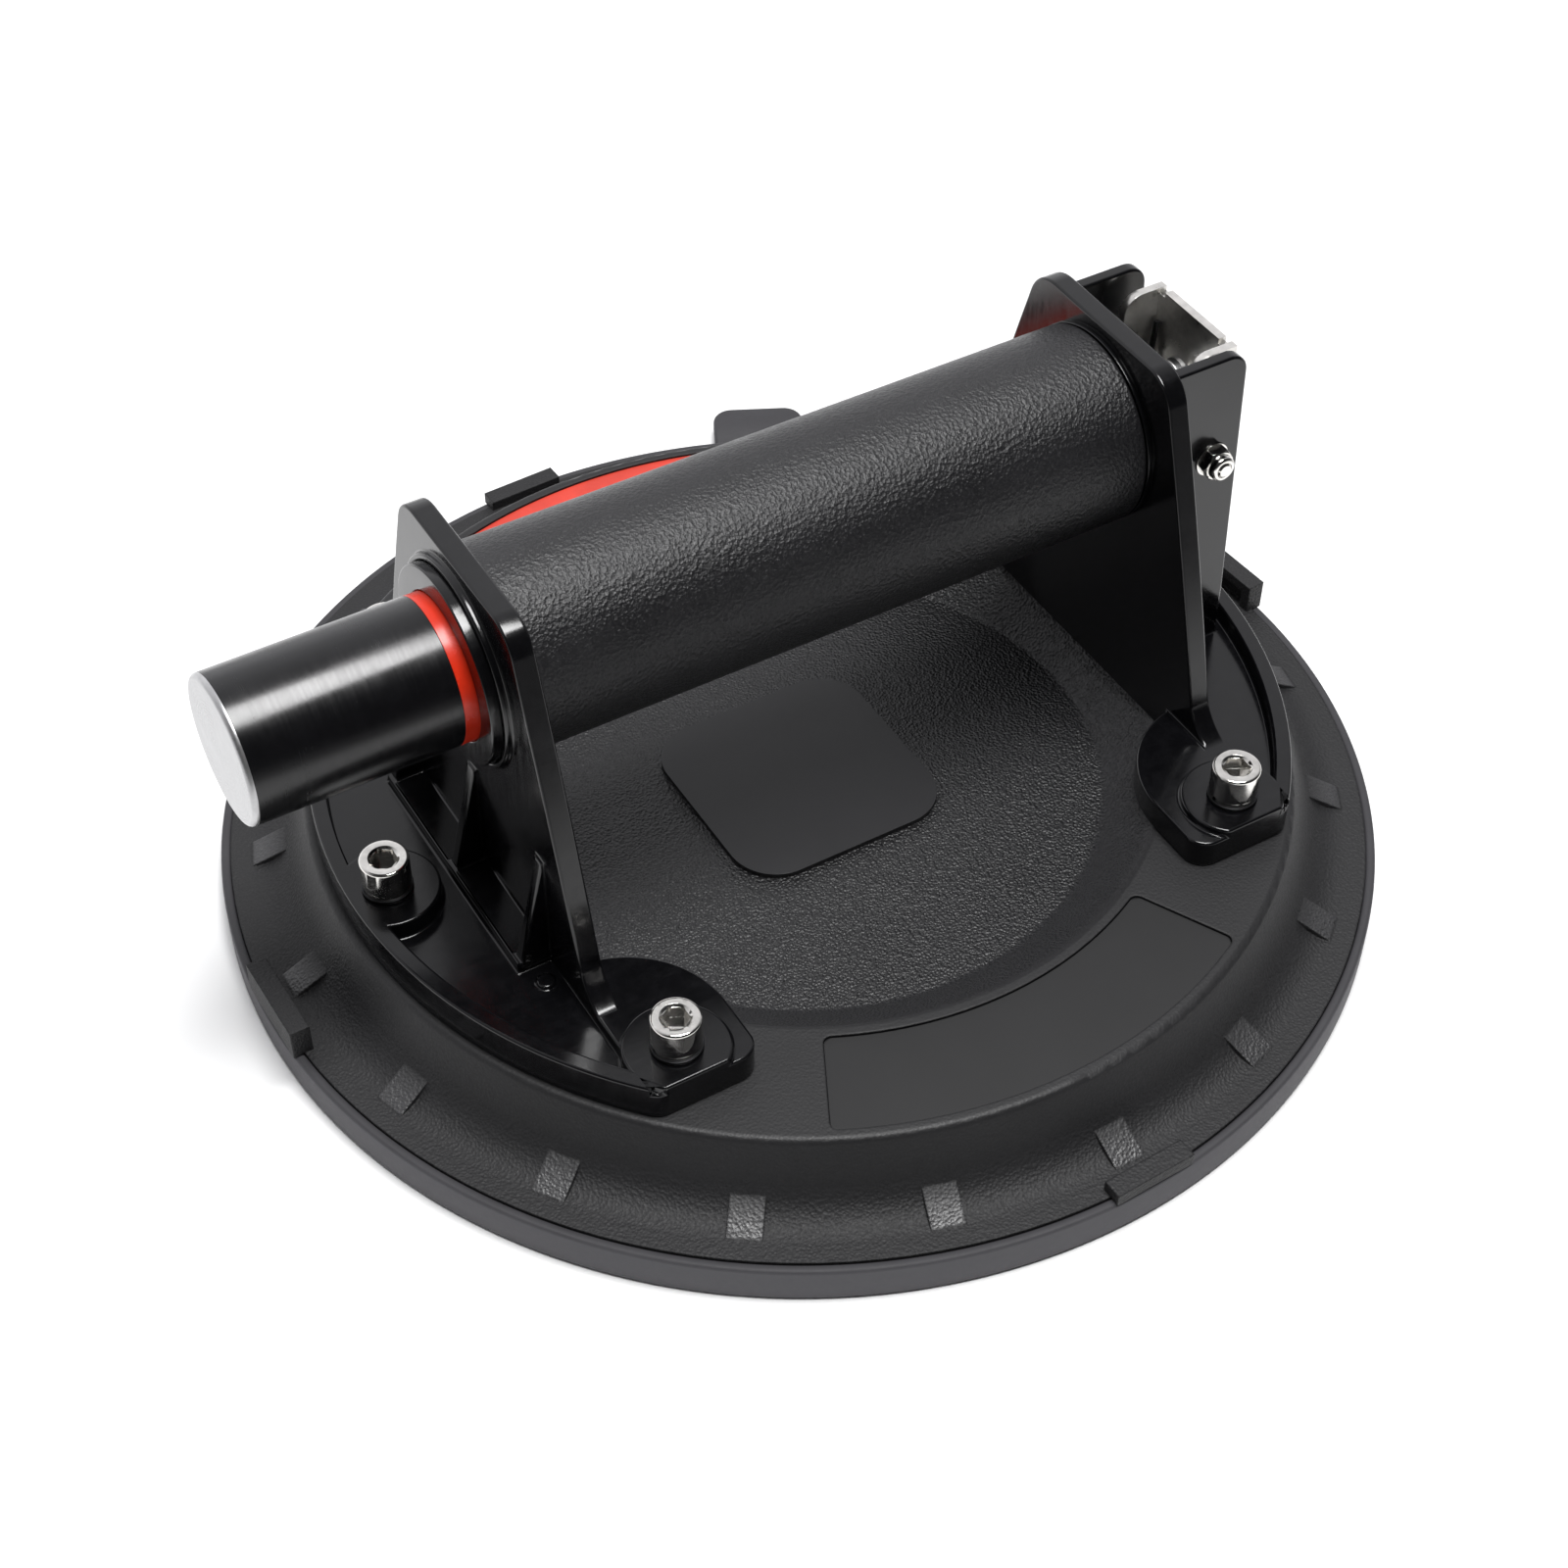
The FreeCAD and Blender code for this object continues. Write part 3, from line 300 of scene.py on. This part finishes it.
# ---- materials ----
def grained_plastic(name, cell, depth, rough_low, rough_high):
    """Black moulded plastic with a pebbled leather grain."""
    m = Material(name)
    pebbles = m.cells(cell, "SMOOTH_F1", smoothness=0.35)
    fine = m.noise(cell * 0.45, detail=2.0, roughness=0.6)
    height = m.math("ADD", pebbles, fine)
    cloud = m.noise(18 * MM, detail=3.0)
    colour = m.tint(m.spread(cloud, 0, 1), scaled(BLACK_PLASTIC, 0.82), scaled(BLACK_PLASTIC, 1.22))
    in_valleys = m.spread(height, rough_high, rough_low, from_low=0.6, from_high=1.3)
    rough = m.math("ADD", in_valleys, m.spread(cloud, -0.03, 0.03))
    m.set("Specular IOR Level", 0.5)
    return finish_with(m, colour, rough, m.bump(height, depth))


def on_ribs(m, radius, z):
    """1 on the tops of the shallow ribs, which stand proud of the rim's hollow fillet."""
    across = m.math("SUBTRACT", radius, RIM_FILLET_CENTRE[0])
    drop = m.math("SUBTRACT", RIM_FILLET ** 2, m.math("MULTIPLY", across, across))
    hollow = m.math("SUBTRACT", RIM_FILLET_CENTRE[1], m.math("SQRT", m.math("MAXIMUM", drop, 0.0)))
    proud = m.rise(m.math("SUBTRACT", z, hollow), *RIB_PROUD)
    fading_up = m.rise(radius, *RIB_FADE_IN)
    inside_lugs = m.fall(radius, *RIB_FADE_OUT)
    return m.math("MULTIPLY", proud, m.math("MULTIPLY", fading_up, inside_lugs))


def base_roughness(m, fleck, in_dish, on_rim, rib):
    """Shinier in the dish and on the rib tops, duller on the rim."""
    rough = m.math("SUBTRACT", m.spread(fleck, 0.60, 0.46), m.math("MULTIPLY", in_dish, 0.14))
    rough = m.math("ADD", rough, m.math("MULTIPLY", on_rim, 0.10))
    return m.math("SUBTRACT", rough, m.math("MULTIPLY", rib, 0.16))


def base_grain_strength(m, in_dish, on_rim):
    """The grain is strongest in the dish, weaker on the rim and faint on the ring."""
    strength = m.math("ADD", m.math("MULTIPLY", in_dish, 0.75), m.math("MULTIPLY", on_rim, 0.35))
    return m.math("ADD", strength, 0.16)


def base_plastic():
    """The base plate: coarse sparkling grain in the dish, finer on the ring and rim, smoother rib tops with a
    painted highlight.
    """
    m = Material("base_plate_plastic")
    x, y, z = m.split(m.place)
    radius = m.radius(x, y)
    in_dish = m.fall(radius, RING_INNER - 2 * MM, RING_INNER)
    on_rim = m.rise(radius, SHOULDER + 1 * MM, SHOULDER + 4 * MM)
    rib = on_ribs(m, radius, z)
    pebbles = m.cells(0.55 * MM, "SMOOTH_F1", smoothness=0.2)
    fleck = m.noise(0.40 * MM, detail=2.0, roughness=0.6)
    height = m.math("ADD", pebbles, m.math("MULTIPLY", fleck, 0.8))
    cloud = m.noise(26 * MM, detail=3.0)
    colour = m.tint(m.spread(cloud, 0, 1), scaled(BLACK_PLASTIC, 0.65), scaled(BLACK_PLASTIC, 0.95))
    # Painted highlight: the rib tops are tinted lighter, where they would catch the softbox.
    colour = m.tint(m.math("MULTIPLY", rib, 0.3), colour, RIB_PAINTED_HIGHLIGHT)
    m.set("Specular IOR Level", m.spread(rib, 0.5, 1.0, from_low=0, from_high=1))
    rough = base_roughness(m, fleck, in_dish, on_rim, rib)
    strength = base_grain_strength(m, in_dish, on_rim)
    normal = m.bump(height, 0.21 * MM, strength, below=m.rounded(BASE_ROUND))
    return finish_with(m, colour, rough, normal)


def gloss_plastic(name, colour=GLOSS_BLACK, rough=0.10, wave=0.05 * MM):
    """Polished black moulding with faint sink waves, hairlines and dust."""
    m = Material(name)
    waves = m.noise(14 * MM, detail=2.0)
    micro = m.noise(0.35 * MM, detail=3.0)
    hairs = m.noise(1.2 * MM, detail=4.0, roughness=0.7, place=m.stretched((0.06, 1.0, 0.06)))
    dust = m.noise(3 * MM, detail=6.0, roughness=0.75)
    tone = m.tint(m.spread(dust, 0, 1, from_low=0.45, from_high=0.75), colour, scaled(colour, 1.9))
    roughness = m.math("ADD", m.spread(hairs, rough, rough + 0.07), m.spread(dust, 0.0, 0.06))
    normal = m.bump(micro, 0.006 * MM, strength=0.6, below=m.bump(waves, wave, strength=0.5))
    return finish_with(m, tone, roughness, normal)


def smooth_plastic(name, colour, rough):
    """Satin plate with the faintest spark texture."""
    m = Material(name)
    spark = m.noise(0.28 * MM, detail=3.0)
    cloud = m.noise(12 * MM, detail=3.0)
    tone = m.tint(m.spread(cloud, 0, 1), scaled(colour, 0.9), scaled(colour, 1.12))
    roughness = m.math("ADD", m.spread(spark, rough - 0.03, rough + 0.05), m.spread(cloud, -0.02, 0.02))
    return finish_with(m, tone, roughness, m.bump(spark, 0.018 * MM, strength=0.7))


def painted_black():
    """The plunger: deep gloss coating with very fine turned marks along its length."""
    m = Material("plunger_black")
    turned = m.noise(0.5 * MM, detail=4.0, roughness=0.6, place=m.stretched((1.0, 0.02, 0.02)))
    peel = m.noise(1.8 * MM, detail=2.0)
    smear = m.noise(9 * MM, detail=5.0, roughness=0.7)
    tone = m.tint(m.spread(smear, 0, 1), scaled(GLOSS_BLACK, 0.9), scaled(GLOSS_BLACK, 1.8))
    rough = m.math("ADD", m.spread(smear, 0.20, 0.27), m.spread(turned, -0.02, 0.03))
    normal = m.bump(turned, 0.004 * MM, strength=0.5, below=m.bump(peel, 0.008 * MM, strength=0.5))
    return finish_with(m, tone, rough, normal)


def metal(name, colour, rough, wear=0.25):
    """Plated or bare metal with a fine grain and slightly uneven polish."""
    m = Material(name)
    m.set("Metallic", 1.0)
    fine = m.noise(0.3 * MM, detail=4.0)
    smear = m.noise(3.5 * MM, detail=5.0, roughness=0.65)
    tone = m.tint(m.spread(smear, 0, 1), scaled(colour, 1 - wear), colour)
    roughness = m.math("ADD", m.spread(smear, rough, rough + 0.10), m.spread(fine, -0.01, 0.03))
    return finish_with(m, tone, roughness, m.bump(fine, 0.003 * MM, strength=0.6))


def turned_face():
    """The plunger's end face: bright metal with concentric turning marks about the handle's axis."""
    m = Material("plunger_end_metal")
    m.set("Metallic", 0.85)
    _, y, z = m.split(m.place)
    rings = m.add("ShaderNodeTexWave", wave_type="BANDS", bands_direction="X")
    rings.inputs["Scale"].default_value = 1 / (2.2 * MM)
    rings.inputs["Distortion"].default_value = 0.6
    along_radius = m.add("ShaderNodeCombineXYZ")
    m.join(m.radius(y, m.math("SUBTRACT", z, AXIS_Z)), along_radius.inputs["X"])
    m.join(along_radius.outputs["Vector"], rings.inputs["Vector"])
    marks = rings.outputs["Fac"]
    smear = m.noise(5 * MM, detail=5.0, roughness=0.7)
    tone = m.tint(m.spread(smear, 0, 1), TURNED_DARK, TURNED_LIGHT)
    uneven = m.spread(marks, -0.02, 0.02, from_low=0, from_high=1)
    rough = m.math("ADD", m.spread(smear, 0.26, 0.36), uneven)
    return finish_with(m, tone, rough, m.bump(marks, 0.003 * MM, strength=0.5))


def red_plastic(name, colour, rough):
    """Red plastic that lets a little light in under its surface."""
    m = Material(name)
    cloud = m.noise(6 * MM, detail=3.0)
    micro = m.noise(0.4 * MM, detail=3.0)
    tone = m.tint(m.spread(cloud, 0, 1), scaled(colour, 0.86), scaled(colour, 1.1))
    m.set("Subsurface Weight", 0.04)
    m.set("Subsurface Radius", (1.2 * MM, 0.4 * MM, 0.2 * MM))
    roughness = m.spread(cloud, rough, rough + 0.08)
    return finish_with(m, tone, roughness, m.bump(micro, 0.01 * MM, strength=0.6))


def rubber(name, colour=RUBBER, rough=0.62):
    """Soft matte rubber: fine powdery grain, faint flow marks, painted light on upright faces."""
    m = Material(name)
    fine = m.noise(0.22 * MM, detail=5.0, roughness=0.65)
    cloud = m.noise(15 * MM, detail=5.0, roughness=0.6)
    dust = m.noise(1.1 * MM, detail=6.0, roughness=0.8)
    tone = m.tint(m.spread(cloud, 0, 1), scaled(colour, 0.85), scaled(colour, 1.12))
    # Painted light: upright faces are tinted up to three times lighter than the rubber's colour.
    tone = m.tint(m.math("MULTIPLY", m.facing_sideways(), UPRIGHT_PAINTED_LIGHT), tone, scaled(colour, 3))
    roughness = m.math("ADD", m.spread(dust, rough - 0.06, rough + 0.06), m.spread(cloud, -0.03, 0.03))
    m.set("Specular IOR Level", 0.35)
    return finish_with(m, tone, roughness, m.bump(fine, 0.03 * MM, strength=0.8))


def foam():
    """The port's filter: open pores."""
    m = Material("filter_foam")
    pores = m.cells(0.5 * MM)
    tone = m.tint(m.fall(pores, 0.1, 0.6), FOAM_DARK, FOAM_LIGHT)
    m.set("Roughness", 0.9)
    return finish_with(m, tone, normal=m.bump(pores, 0.15 * MM))


def floor_material():
    """Pale studio floor; in reflections it is painted dark towards the front and away from the object, a
    painted shade for the dim side of the room.
    """
    m = Material("studio_floor")
    x, y, _ = m.split(m.place)
    cloud = m.noise(0.4, detail=3.0)
    seen = m.tint(m.spread(cloud, 0, 1), scaled(PALE, 0.99), PALE)
    behind = m.rise(y, FLOOR_DARK_Y, FLOOR_LIGHT_Y)
    near = m.fall(m.radius(x, y), FLOOR_NEAR, FLOOR_FAR)
    # Painted shade: for reflections the floor is darkened in front and far from the object.
    reflected = m.tint(m.math("MAXIMUM", behind, near), FLOOR_DARK, PALE)
    path = m.add("ShaderNodeLightPath")
    tone = m.tint(path.outputs["Is Camera Ray"], reflected, seen)
    m.set("Roughness", 0.9)
    m.set("Specular IOR Level", 0.1)
    return finish_with(m, tone)


# ---- sizes read from the frame ----
def size_of(node):
    low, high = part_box(node)
    return Vector(low), Vector(high)


pad_high = size_of("suction_pad")[1]
label_low = size_of("front_label")[0]
grip_low, grip_high = size_of("grip_sleeve")
PAD_RADIUS = pad_high.x
AXIS_Z = (grip_low.z + grip_high.z) / 2
GRIP_RADIUS = (grip_high.z - grip_low.z) / 2
SHOULDER = -label_low.y + LABEL_TO_SHOULDER


# ---- mesh helpers ----
def new_object(name, verts, faces, smooth=True):
    mesh = bpy.data.meshes.new(name)
    mesh.from_pydata(verts, [], faces)
    mesh.validate()
    mesh.update()
    if smooth:
        mesh.shade_smooth()
    made = bpy.data.objects.new(name, mesh)
    bpy.context.collection.objects.link(made)
    return made


def lathe(name, profile, steps):
    """A closed body turned about Z from a profile of (radius, height); ends on the axis are single points."""
    verts = []
    rows = []
    for radius, height in profile:
        if radius < 1e-9:
            rows.append([len(verts)] * steps)
            verts.append((0, 0, height))
            continue
        rows.append(list(range(len(verts), len(verts) + steps)))
        for k in range(steps):
            turn = 2 * math.pi * k / steps
            verts.append((radius * math.cos(turn), radius * math.sin(turn), height))
    faces = []
    for lower, upper in zip(rows, rows[1:]):
        for k in range(steps):
            following = (k + 1) % steps
            corners = [lower[k], lower[following], upper[following], upper[k]]
            face = list(dict.fromkeys(corners))
            if len(face) > 2:
                faces.append(face)
    return new_object(name, verts, faces)


def bridge(here, there, count):
    """Faces between two closed loops of count vertices, which start at the indices here and there."""
    faces = []
    for k in range(count):
        following = (k + 1) % count
        faces.append([here + k, there + k, there + following, here + following])
    return faces


def round_corner(centre, radius, start_deg, end_deg, steps=5):
    """Profile points of an arc, in (radius, height)."""
    points = []
    for k in range(steps + 1):
        turn = math.radians(start_deg + (end_deg - start_deg) * k / steps)
        points.append((centre[0] + radius * math.cos(turn), centre[1] + radius * math.sin(turn)))
    return points


def paint(made, material):
    made.data.materials.clear()
    made.data.materials.append(material)


def dress(node, material, bevel=0, segments=2):
    """Gives a CAD node its material and, where a bevel is asked for, rounds its sharp edges a little."""
    made = nodes[node]
    for slot in made.material_slots:
        slot.material = material
    if bevel:
        weld = made.modifiers.new("weld", "WELD")
        weld.merge_threshold = WELD_REACH
        edge = made.modifiers.new("edge", "BEVEL")
        edge.width = bevel
        edge.segments = segments
        edge.limit_method = "ANGLE"
        edge.angle_limit = math.radians(SHARP_ANGLE)
        normals = made.modifiers.new("normals", "WEIGHTED_NORMAL")
        normals.keep_sharp = False
    return made


def dress_moulding(node, material):
    """Dresses a moulded piece whose edges are visibly rounded: flats are merged before the rounding."""
    made = dress(node, material, MOULDING_ROUND, MOULDING_SEGMENTS)
    edge = made.modifiers["edge"]
    edge.use_clamp_overlap = False
    edge.harden_normals = True
    flats = made.modifiers.new("flats", "DECIMATE")
    flats.decimate_type = "DISSOLVE"
    flats.angle_limit = math.radians(FLAT_ANGLE)
    made.modifiers.move(made.modifiers.find("flats"), 1)


# ---- the rubber pad ----
def ridge_section(middle):
    """Profile points of one sealing ridge, which hangs from the pad's ceiling."""
    points = [(middle - RIDGE_HALF_WIDTH, PAD_CEILING)]
    for offset in RIDGE_OFFSETS:
        share = math.cos(offset * math.pi / (2 * RIDGE_HALF_WIDTH)) ** 2
        points.append((middle + offset, PAD_CEILING - (PAD_CEILING - RIDGE_BOTTOM) * share))
    points.append((middle + RIDGE_HALF_WIDTH, PAD_CEILING))
    return points


def make_pad():
    """The pad: rounded side band, pocket for the base plate, sealing ridges underneath."""
    band_top = pad_high.z - BAND_TOP_DROP
    profile = [(0, PAD_CEILING)]
    for middle in RIDGE_RADII:
        profile += ridge_section(middle)
    profile += OUTER_LIP
    profile.append((PAD_RADIUS - FOOT_WIDTH, 0))
    profile += round_corner((PAD_RADIUS - FOOT_ROUND, FOOT_ROUND), FOOT_ROUND, 270, 360)
    profile.append((PAD_RADIUS, BAND_FROM))
    profile += round_corner((PAD_RADIUS - BAND_ROUND, band_top - SEAT_STEP), BAND_ROUND, 0, 90)
    profile.append((PAD_SEAT + SEAT_LIP, band_top + BAND_TOP_DROP))
    profile.append((PAD_SEAT, band_top + SEAT_STEP))
    profile.append((PAD_SEAT, PAD_FLOOR))
    profile.append((0, PAD_FLOOR))
    return lathe("rubber_pad", profile, PAD_STEPS)


def tab_outline(inset):
    """Outline of the tab from above, as (along, across), drawn in by inset."""
    corner = TAB_REACH - TAB_CORNER
    side = TAB_HALF_WIDTH - TAB_CORNER
    start = PAD_RADIUS - TAB_ROOT_DEPTH
    points = [(start, -TAB_HALF_WIDTH + inset)]
    points += round_corner((corner, -side), TAB_CORNER - inset, -90, 0, TAB_CORNER_STEPS)
    points += round_corner((corner, side), TAB_CORNER - inset, 0, 90, TAB_CORNER_STEPS)
    points.append((start, TAB_HALF_WIDTH - inset))
    return points


def tab_levels():
    """Inset and height of each outline from the tab's underside to its top, with rounded edges."""
    turns = [math.radians(90 * k / TAB_EDGE_STEPS) for k in range(TAB_EDGE_STEPS + 1)]
    lower = [(TAB_EDGE * (1 - math.sin(turn)), TAB_LOW + TAB_EDGE * (1 - math.cos(turn))) for turn in turns]
    upper = [(TAB_EDGE * (1 - math.cos(turn)), TAB_HIGH - TAB_EDGE * (1 - math.sin(turn))) for turn in turns]
    return lower + upper


def make_tab():
    """The pull tab: a flat rubber tongue with rounded corners and edges."""
    direction = math.radians(TAB_DIRECTION)
    levels = tab_levels()
    count = len(tab_outline(0))
    verts, faces = [], []
    for inset, z in levels:
        for along, across in tab_outline(inset):
            x = along * math.cos(direction) - across * math.sin(direction)
            y = along * math.sin(direction) + across * math.cos(direction)
            verts.append((x, y, z))
    for row in range(len(levels) - 1):
        here, there = row * count, (row + 1) * count
        for k in range(count):
            following = (k + 1) % count
            faces.append([here + k, here + following, there + following, there + k])
    faces.append(list(range(count))[::-1])
    faces.append([len(verts) - count + k for k in range(count)])
    return new_object("pull_tab", verts, faces)


# ---- the grip ----
def grain_height(point):
    """The leather grain on the grip, as a height between about -1 and 1."""
    spots = noise.voronoi(point / PEBBLE_SIZE)[0]
    pebble = min(spots[1] - spots[0], PEBBLE_RIM) / PEBBLE_RIM
    fine = noise.fractal(point / FINE_GRAIN_SIZE, 0.9, 2.0, 3)
    return 0.85 * (pebble - 0.5) + 0.3 * fine


def grip_rows():
    """Position along the grip, inset and amount of grain of each ring of its outside."""
    turns = [math.radians(90 * k / GRIP_LIP_STEPS) for k in range(GRIP_LIP_STEPS + 1)]
    lips = [(GRIP_LIP * (1 - math.cos(turn)), GRIP_LIP * (1 - math.sin(turn))) for turn in turns]
    inner = grip_high.x - grip_low.x - 2 * GRIP_LIP
    rows = [(grip_low.x + step, inset, 0.0) for step, inset in lips]
    rows += [(grip_low.x + GRIP_LIP + inner * k / GRIP_ALONG, 0.0, 1.0) for k in range(1, GRIP_ALONG)]
    rows += [(grip_high.x - step, inset, 0.0) for step, inset in reversed(lips)]
    return rows


def on_axis(x, radius, k):
    """Point k of the ring of the given radius about the grip's axis."""
    turn = 2 * math.pi * k / GRIP_AROUND
    return x, radius * math.cos(turn), AXIS_Z + radius * math.sin(turn)


def make_grip():
    """The grip sleeve with its grain standing out of the surface, and rounded ends."""
    bore = GRIP_RADIUS - GRIP_WALL
    rows = grip_rows()
    verts, faces = [], []
    for x, inset, grain in rows:
        for k in range(GRIP_AROUND):
            radius = GRIP_RADIUS - GRIP_SKIN - inset
            if grain:
                point = Vector(on_axis(x, radius, k))
                radius += GRAIN_DEPTH * 0.5 * grain * grain_height(point)
            verts.append(on_axis(x, radius, k))
    for x in (grip_high.x, grip_low.x):
        verts += [on_axis(x, bore, k) for k in range(GRIP_AROUND)]
    total = len(rows) + 2
    for row in range(total):
        faces += bridge(row * GRIP_AROUND, (row + 1) % total * GRIP_AROUND, GRIP_AROUND)
    return new_object("grip_leather", verts, faces)


def coil_verts(low, high, wire, steps):
    """Rings of wire vertices along a helix about X."""
    middle = (low + high) / 2
    coil_radius = (high.z - low.z) / 2 - wire
    length = high.x - low.x
    verts = []
    for k in range(steps + 1):
        turn = 2 * math.pi * k / COIL_STEPS
        x = low.x + wire + (length - 2 * wire) * k / steps
        for j in range(WIRE_SIDES):
            round_wire = 2 * math.pi * j / WIRE_SIDES
            reach = coil_radius + wire * math.cos(round_wire)
            verts.append((
                x + wire * math.sin(round_wire),
                middle.y + reach * math.cos(turn),
                middle.z + reach * math.sin(turn),
            ))
    return verts


def make_coil(node, wire, turns):
    """A coil spring along X, filling the box of the given node and fixed to the base."""
    low, high = size_of(node)
    steps = COIL_STEPS * turns
    verts = coil_verts(low, high, wire, steps)
    faces = []
    for k in range(steps):
        faces += bridge(k * WIRE_SIDES, (k + 1) * WIRE_SIDES, WIRE_SIDES)
    faces.append(list(range(WIRE_SIDES)))
    faces.append([len(verts) - 1 - j for j in range(WIRE_SIDES)])
    coil = new_object(node + "_coil", verts, faces)
    paint(coil, steel)
    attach(coil, "base")
    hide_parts(node)
    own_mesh(coil)


# ---- studio ----
def make_floor():
    half = FLOOR_HALF
    verts = [(-half, -half, 0), (half, -half, 0), (half, half, 0), (-half, half, 0)]
    floor = new_object("studio_floor", verts, [[0, 1, 2, 3]], smooth=False)
    floor.location.z = -FLOOR_DROP
    paint(floor, floor_material())


def make_softbox():
    data = bpy.data.lights.new("overhead", "AREA")
    data.energy = SOFTBOX_WATTS
    data.size = SOFTBOX_SIZE
    light = bpy.data.objects.new("overhead", data)
    light.location = SOFTBOX_PLACE
    aim = Vector(SOFTBOX_AIM) - Vector(SOFTBOX_PLACE)
    light.rotation_euler = aim.to_track_quat("-Z", "Y").to_euler()
    bpy.context.collection.objects.link(light)


def room_strength(tree):
    """Brightness of the room by direction: dim in front, bright behind."""
    place = tree.nodes.new("ShaderNodeTexCoord")
    split = tree.nodes.new("ShaderNodeSeparateXYZ")
    tree.links.new(place.outputs["Generated"], split.inputs["Vector"])
    across = tree.nodes.new("ShaderNodeMapRange")
    across.inputs["From Min"].default_value = ROOM_DIM_AT
    across.inputs["From Max"].default_value = 1.0
    across.inputs["To Min"].default_value = ROOM_FRONT
    across.inputs["To Max"].default_value = ROOM_BACK
    tree.links.new(split.outputs["Y"], across.inputs["Value"])
    return across.outputs["Result"]


def make_world():
    """White for the camera; for reflections a bright wall behind and a dim room in front."""
    world = bpy.data.worlds.new("studio")
    bpy.context.scene.world = world
    world.use_nodes = True
    tree = world.node_tree
    tree.nodes.clear()
    room = tree.nodes.new("ShaderNodeBackground")
    room.inputs["Color"].default_value = ROOM_TINT
    tree.links.new(room_strength(tree), room.inputs["Strength"])
    seen = tree.nodes.new("ShaderNodeBackground")
    seen.inputs["Color"].default_value = (1, 1, 1, 1)
    path = tree.nodes.new("ShaderNodeLightPath")
    mix = tree.nodes.new("ShaderNodeMixShader")
    out = tree.nodes.new("ShaderNodeOutputWorld")
    tree.links.new(path.outputs["Is Camera Ray"], mix.inputs[0])
    tree.links.new(room.outputs[0], mix.inputs[1])
    tree.links.new(seen.outputs[0], mix.inputs[2])
    tree.links.new(mix.outputs[0], out.inputs[0])


def make_camera():
    azimuth = math.radians(CAMERA_AZIMUTH)
    elevation = math.radians(CAMERA_ELEVATION)
    forward = Vector((
        -math.sin(azimuth) * math.cos(elevation),
        math.cos(azimuth) * math.cos(elevation),
        -math.sin(elevation),
    ))
    data = bpy.data.cameras.new("camera")
    data.lens = CAMERA_LENS
    data.sensor_width = CAMERA_SENSOR
    data.clip_start = CAMERA_NEAREST
    camera = bpy.data.objects.new("camera", data)
    roll = Matrix.Rotation(math.radians(CAMERA_ROLL), 3, "Z")
    turn = forward.to_track_quat("-Z", "Y").to_matrix() @ roll
    camera.matrix_world = Matrix.Translation(CAMERA_TARGET - forward * CAMERA_DISTANCE) @ turn.to_4x4()
    bpy.context.collection.objects.link(camera)
    bpy.context.scene.camera = camera


# ---- build ----
bracket = gloss_plastic("bracket_gloss")
chrome = metal("bright_chrome", CHROME, rough=0.06)
steel = metal("plain_steel", STEEL, rough=0.25)
seal = rubber("seal_rubber", SEAL_RUBBER, rough=0.45)
inner_plastic = smooth_plastic("inner_plastic", INNER_PLASTIC, rough=0.4)
red = red_plastic("indicator_red", RED, rough=0.22)
pad_rubber = rubber("pad_rubber")
grip_plastic = grained_plastic("grip_leather", 0.7 * MM, 0.13 * MM, rough_low=0.33, rough_high=0.45)

pad = make_pad()
paint(pad, pad_rubber)
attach(pad, "base")
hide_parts("suction_pad")

tab = make_tab()
paint(tab, pad_rubber)
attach(tab, "base")

grip = make_grip()
paint(grip, grip_plastic)
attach(grip, "base")
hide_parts("grip_sleeve")

dress("base_plate", base_plastic())
dress("centre_badge", smooth_plastic("badge_satin", BLACK_PLASTIC, rough=0.42), bevel=0.4 * MM)
dress("front_label", smooth_plastic("label_satin", scaled(BLACK_PLASTIC, 0.45), rough=0.52), bevel=0.2 * MM)
dress("rear_label", red_plastic("label_red", LABEL_RED, rough=0.4), bevel=0.1 * MM)
dress_moulding("pump_bracket", bracket)
dress_moulding("lever_bracket", bracket)
dress("guide_bush", bracket, bevel=0.3 * MM)
dress("grip_end_ring", bracket, bevel=0.1 * MM)
dress("bracket_screws", chrome, bevel=0.12 * MM)
dress("bracket_plain_washers", metal("washer_black", DARK_STEEL, rough=0.3), bevel=0.1 * MM)
dress("bracket_lock_washers", metal("lock_washer_bright", scaled(CHROME, 0.6), rough=0.15), bevel=0.1 * MM)
dress("bracket_inserts", metal("insert_brass", BRASS, rough=0.25))
dress("plunger_sleeve", painted_black(), bevel=0.1 * MM)
dress("plunger_cap", turned_face())
dress("indicator_band", red, bevel=0.05 * MM)
dress("release_lever", metal("lever_chrome", CHROME, rough=0.26), bevel=0.15 * MM)
dress("lever_spring", metal("spring_dark", DARK_STEEL, rough=0.3))
dress("pivot_bolt", chrome, bevel=0.1 * MM)
dress("pivot_nut", chrome, bevel=0.1 * MM)
dress("port_filter", foam())

for name in ("barrel", "piston_ring", "valve_block", "exhaust_plug", "release_body", "lever_spacers"):
    dress(name, inner_plastic)
for name in ("port_seal", "piston_seal", "valve_block_seal", "release_seal"):
    dress(name, seal)
for name in ("pad_clamp_disc", "pad_clamp_screws", "pivot_bush"):
    dress(name, steel)
for name in ("intake_valve", "exhaust_valve", "release_stem"):
    dress(name, steel)

make_coil("return_spring", 0.7 * MM, turns=24)
make_coil("release_spring", 0.35 * MM, turns=5)
make_coil("intake_spring", 0.2 * MM, turns=5)
make_coil("exhaust_spring", 0.2 * MM, turns=6)

make_floor()
make_world()
make_softbox()
make_camera()
bpy.context.scene.view_settings.view_transform = "Standard"
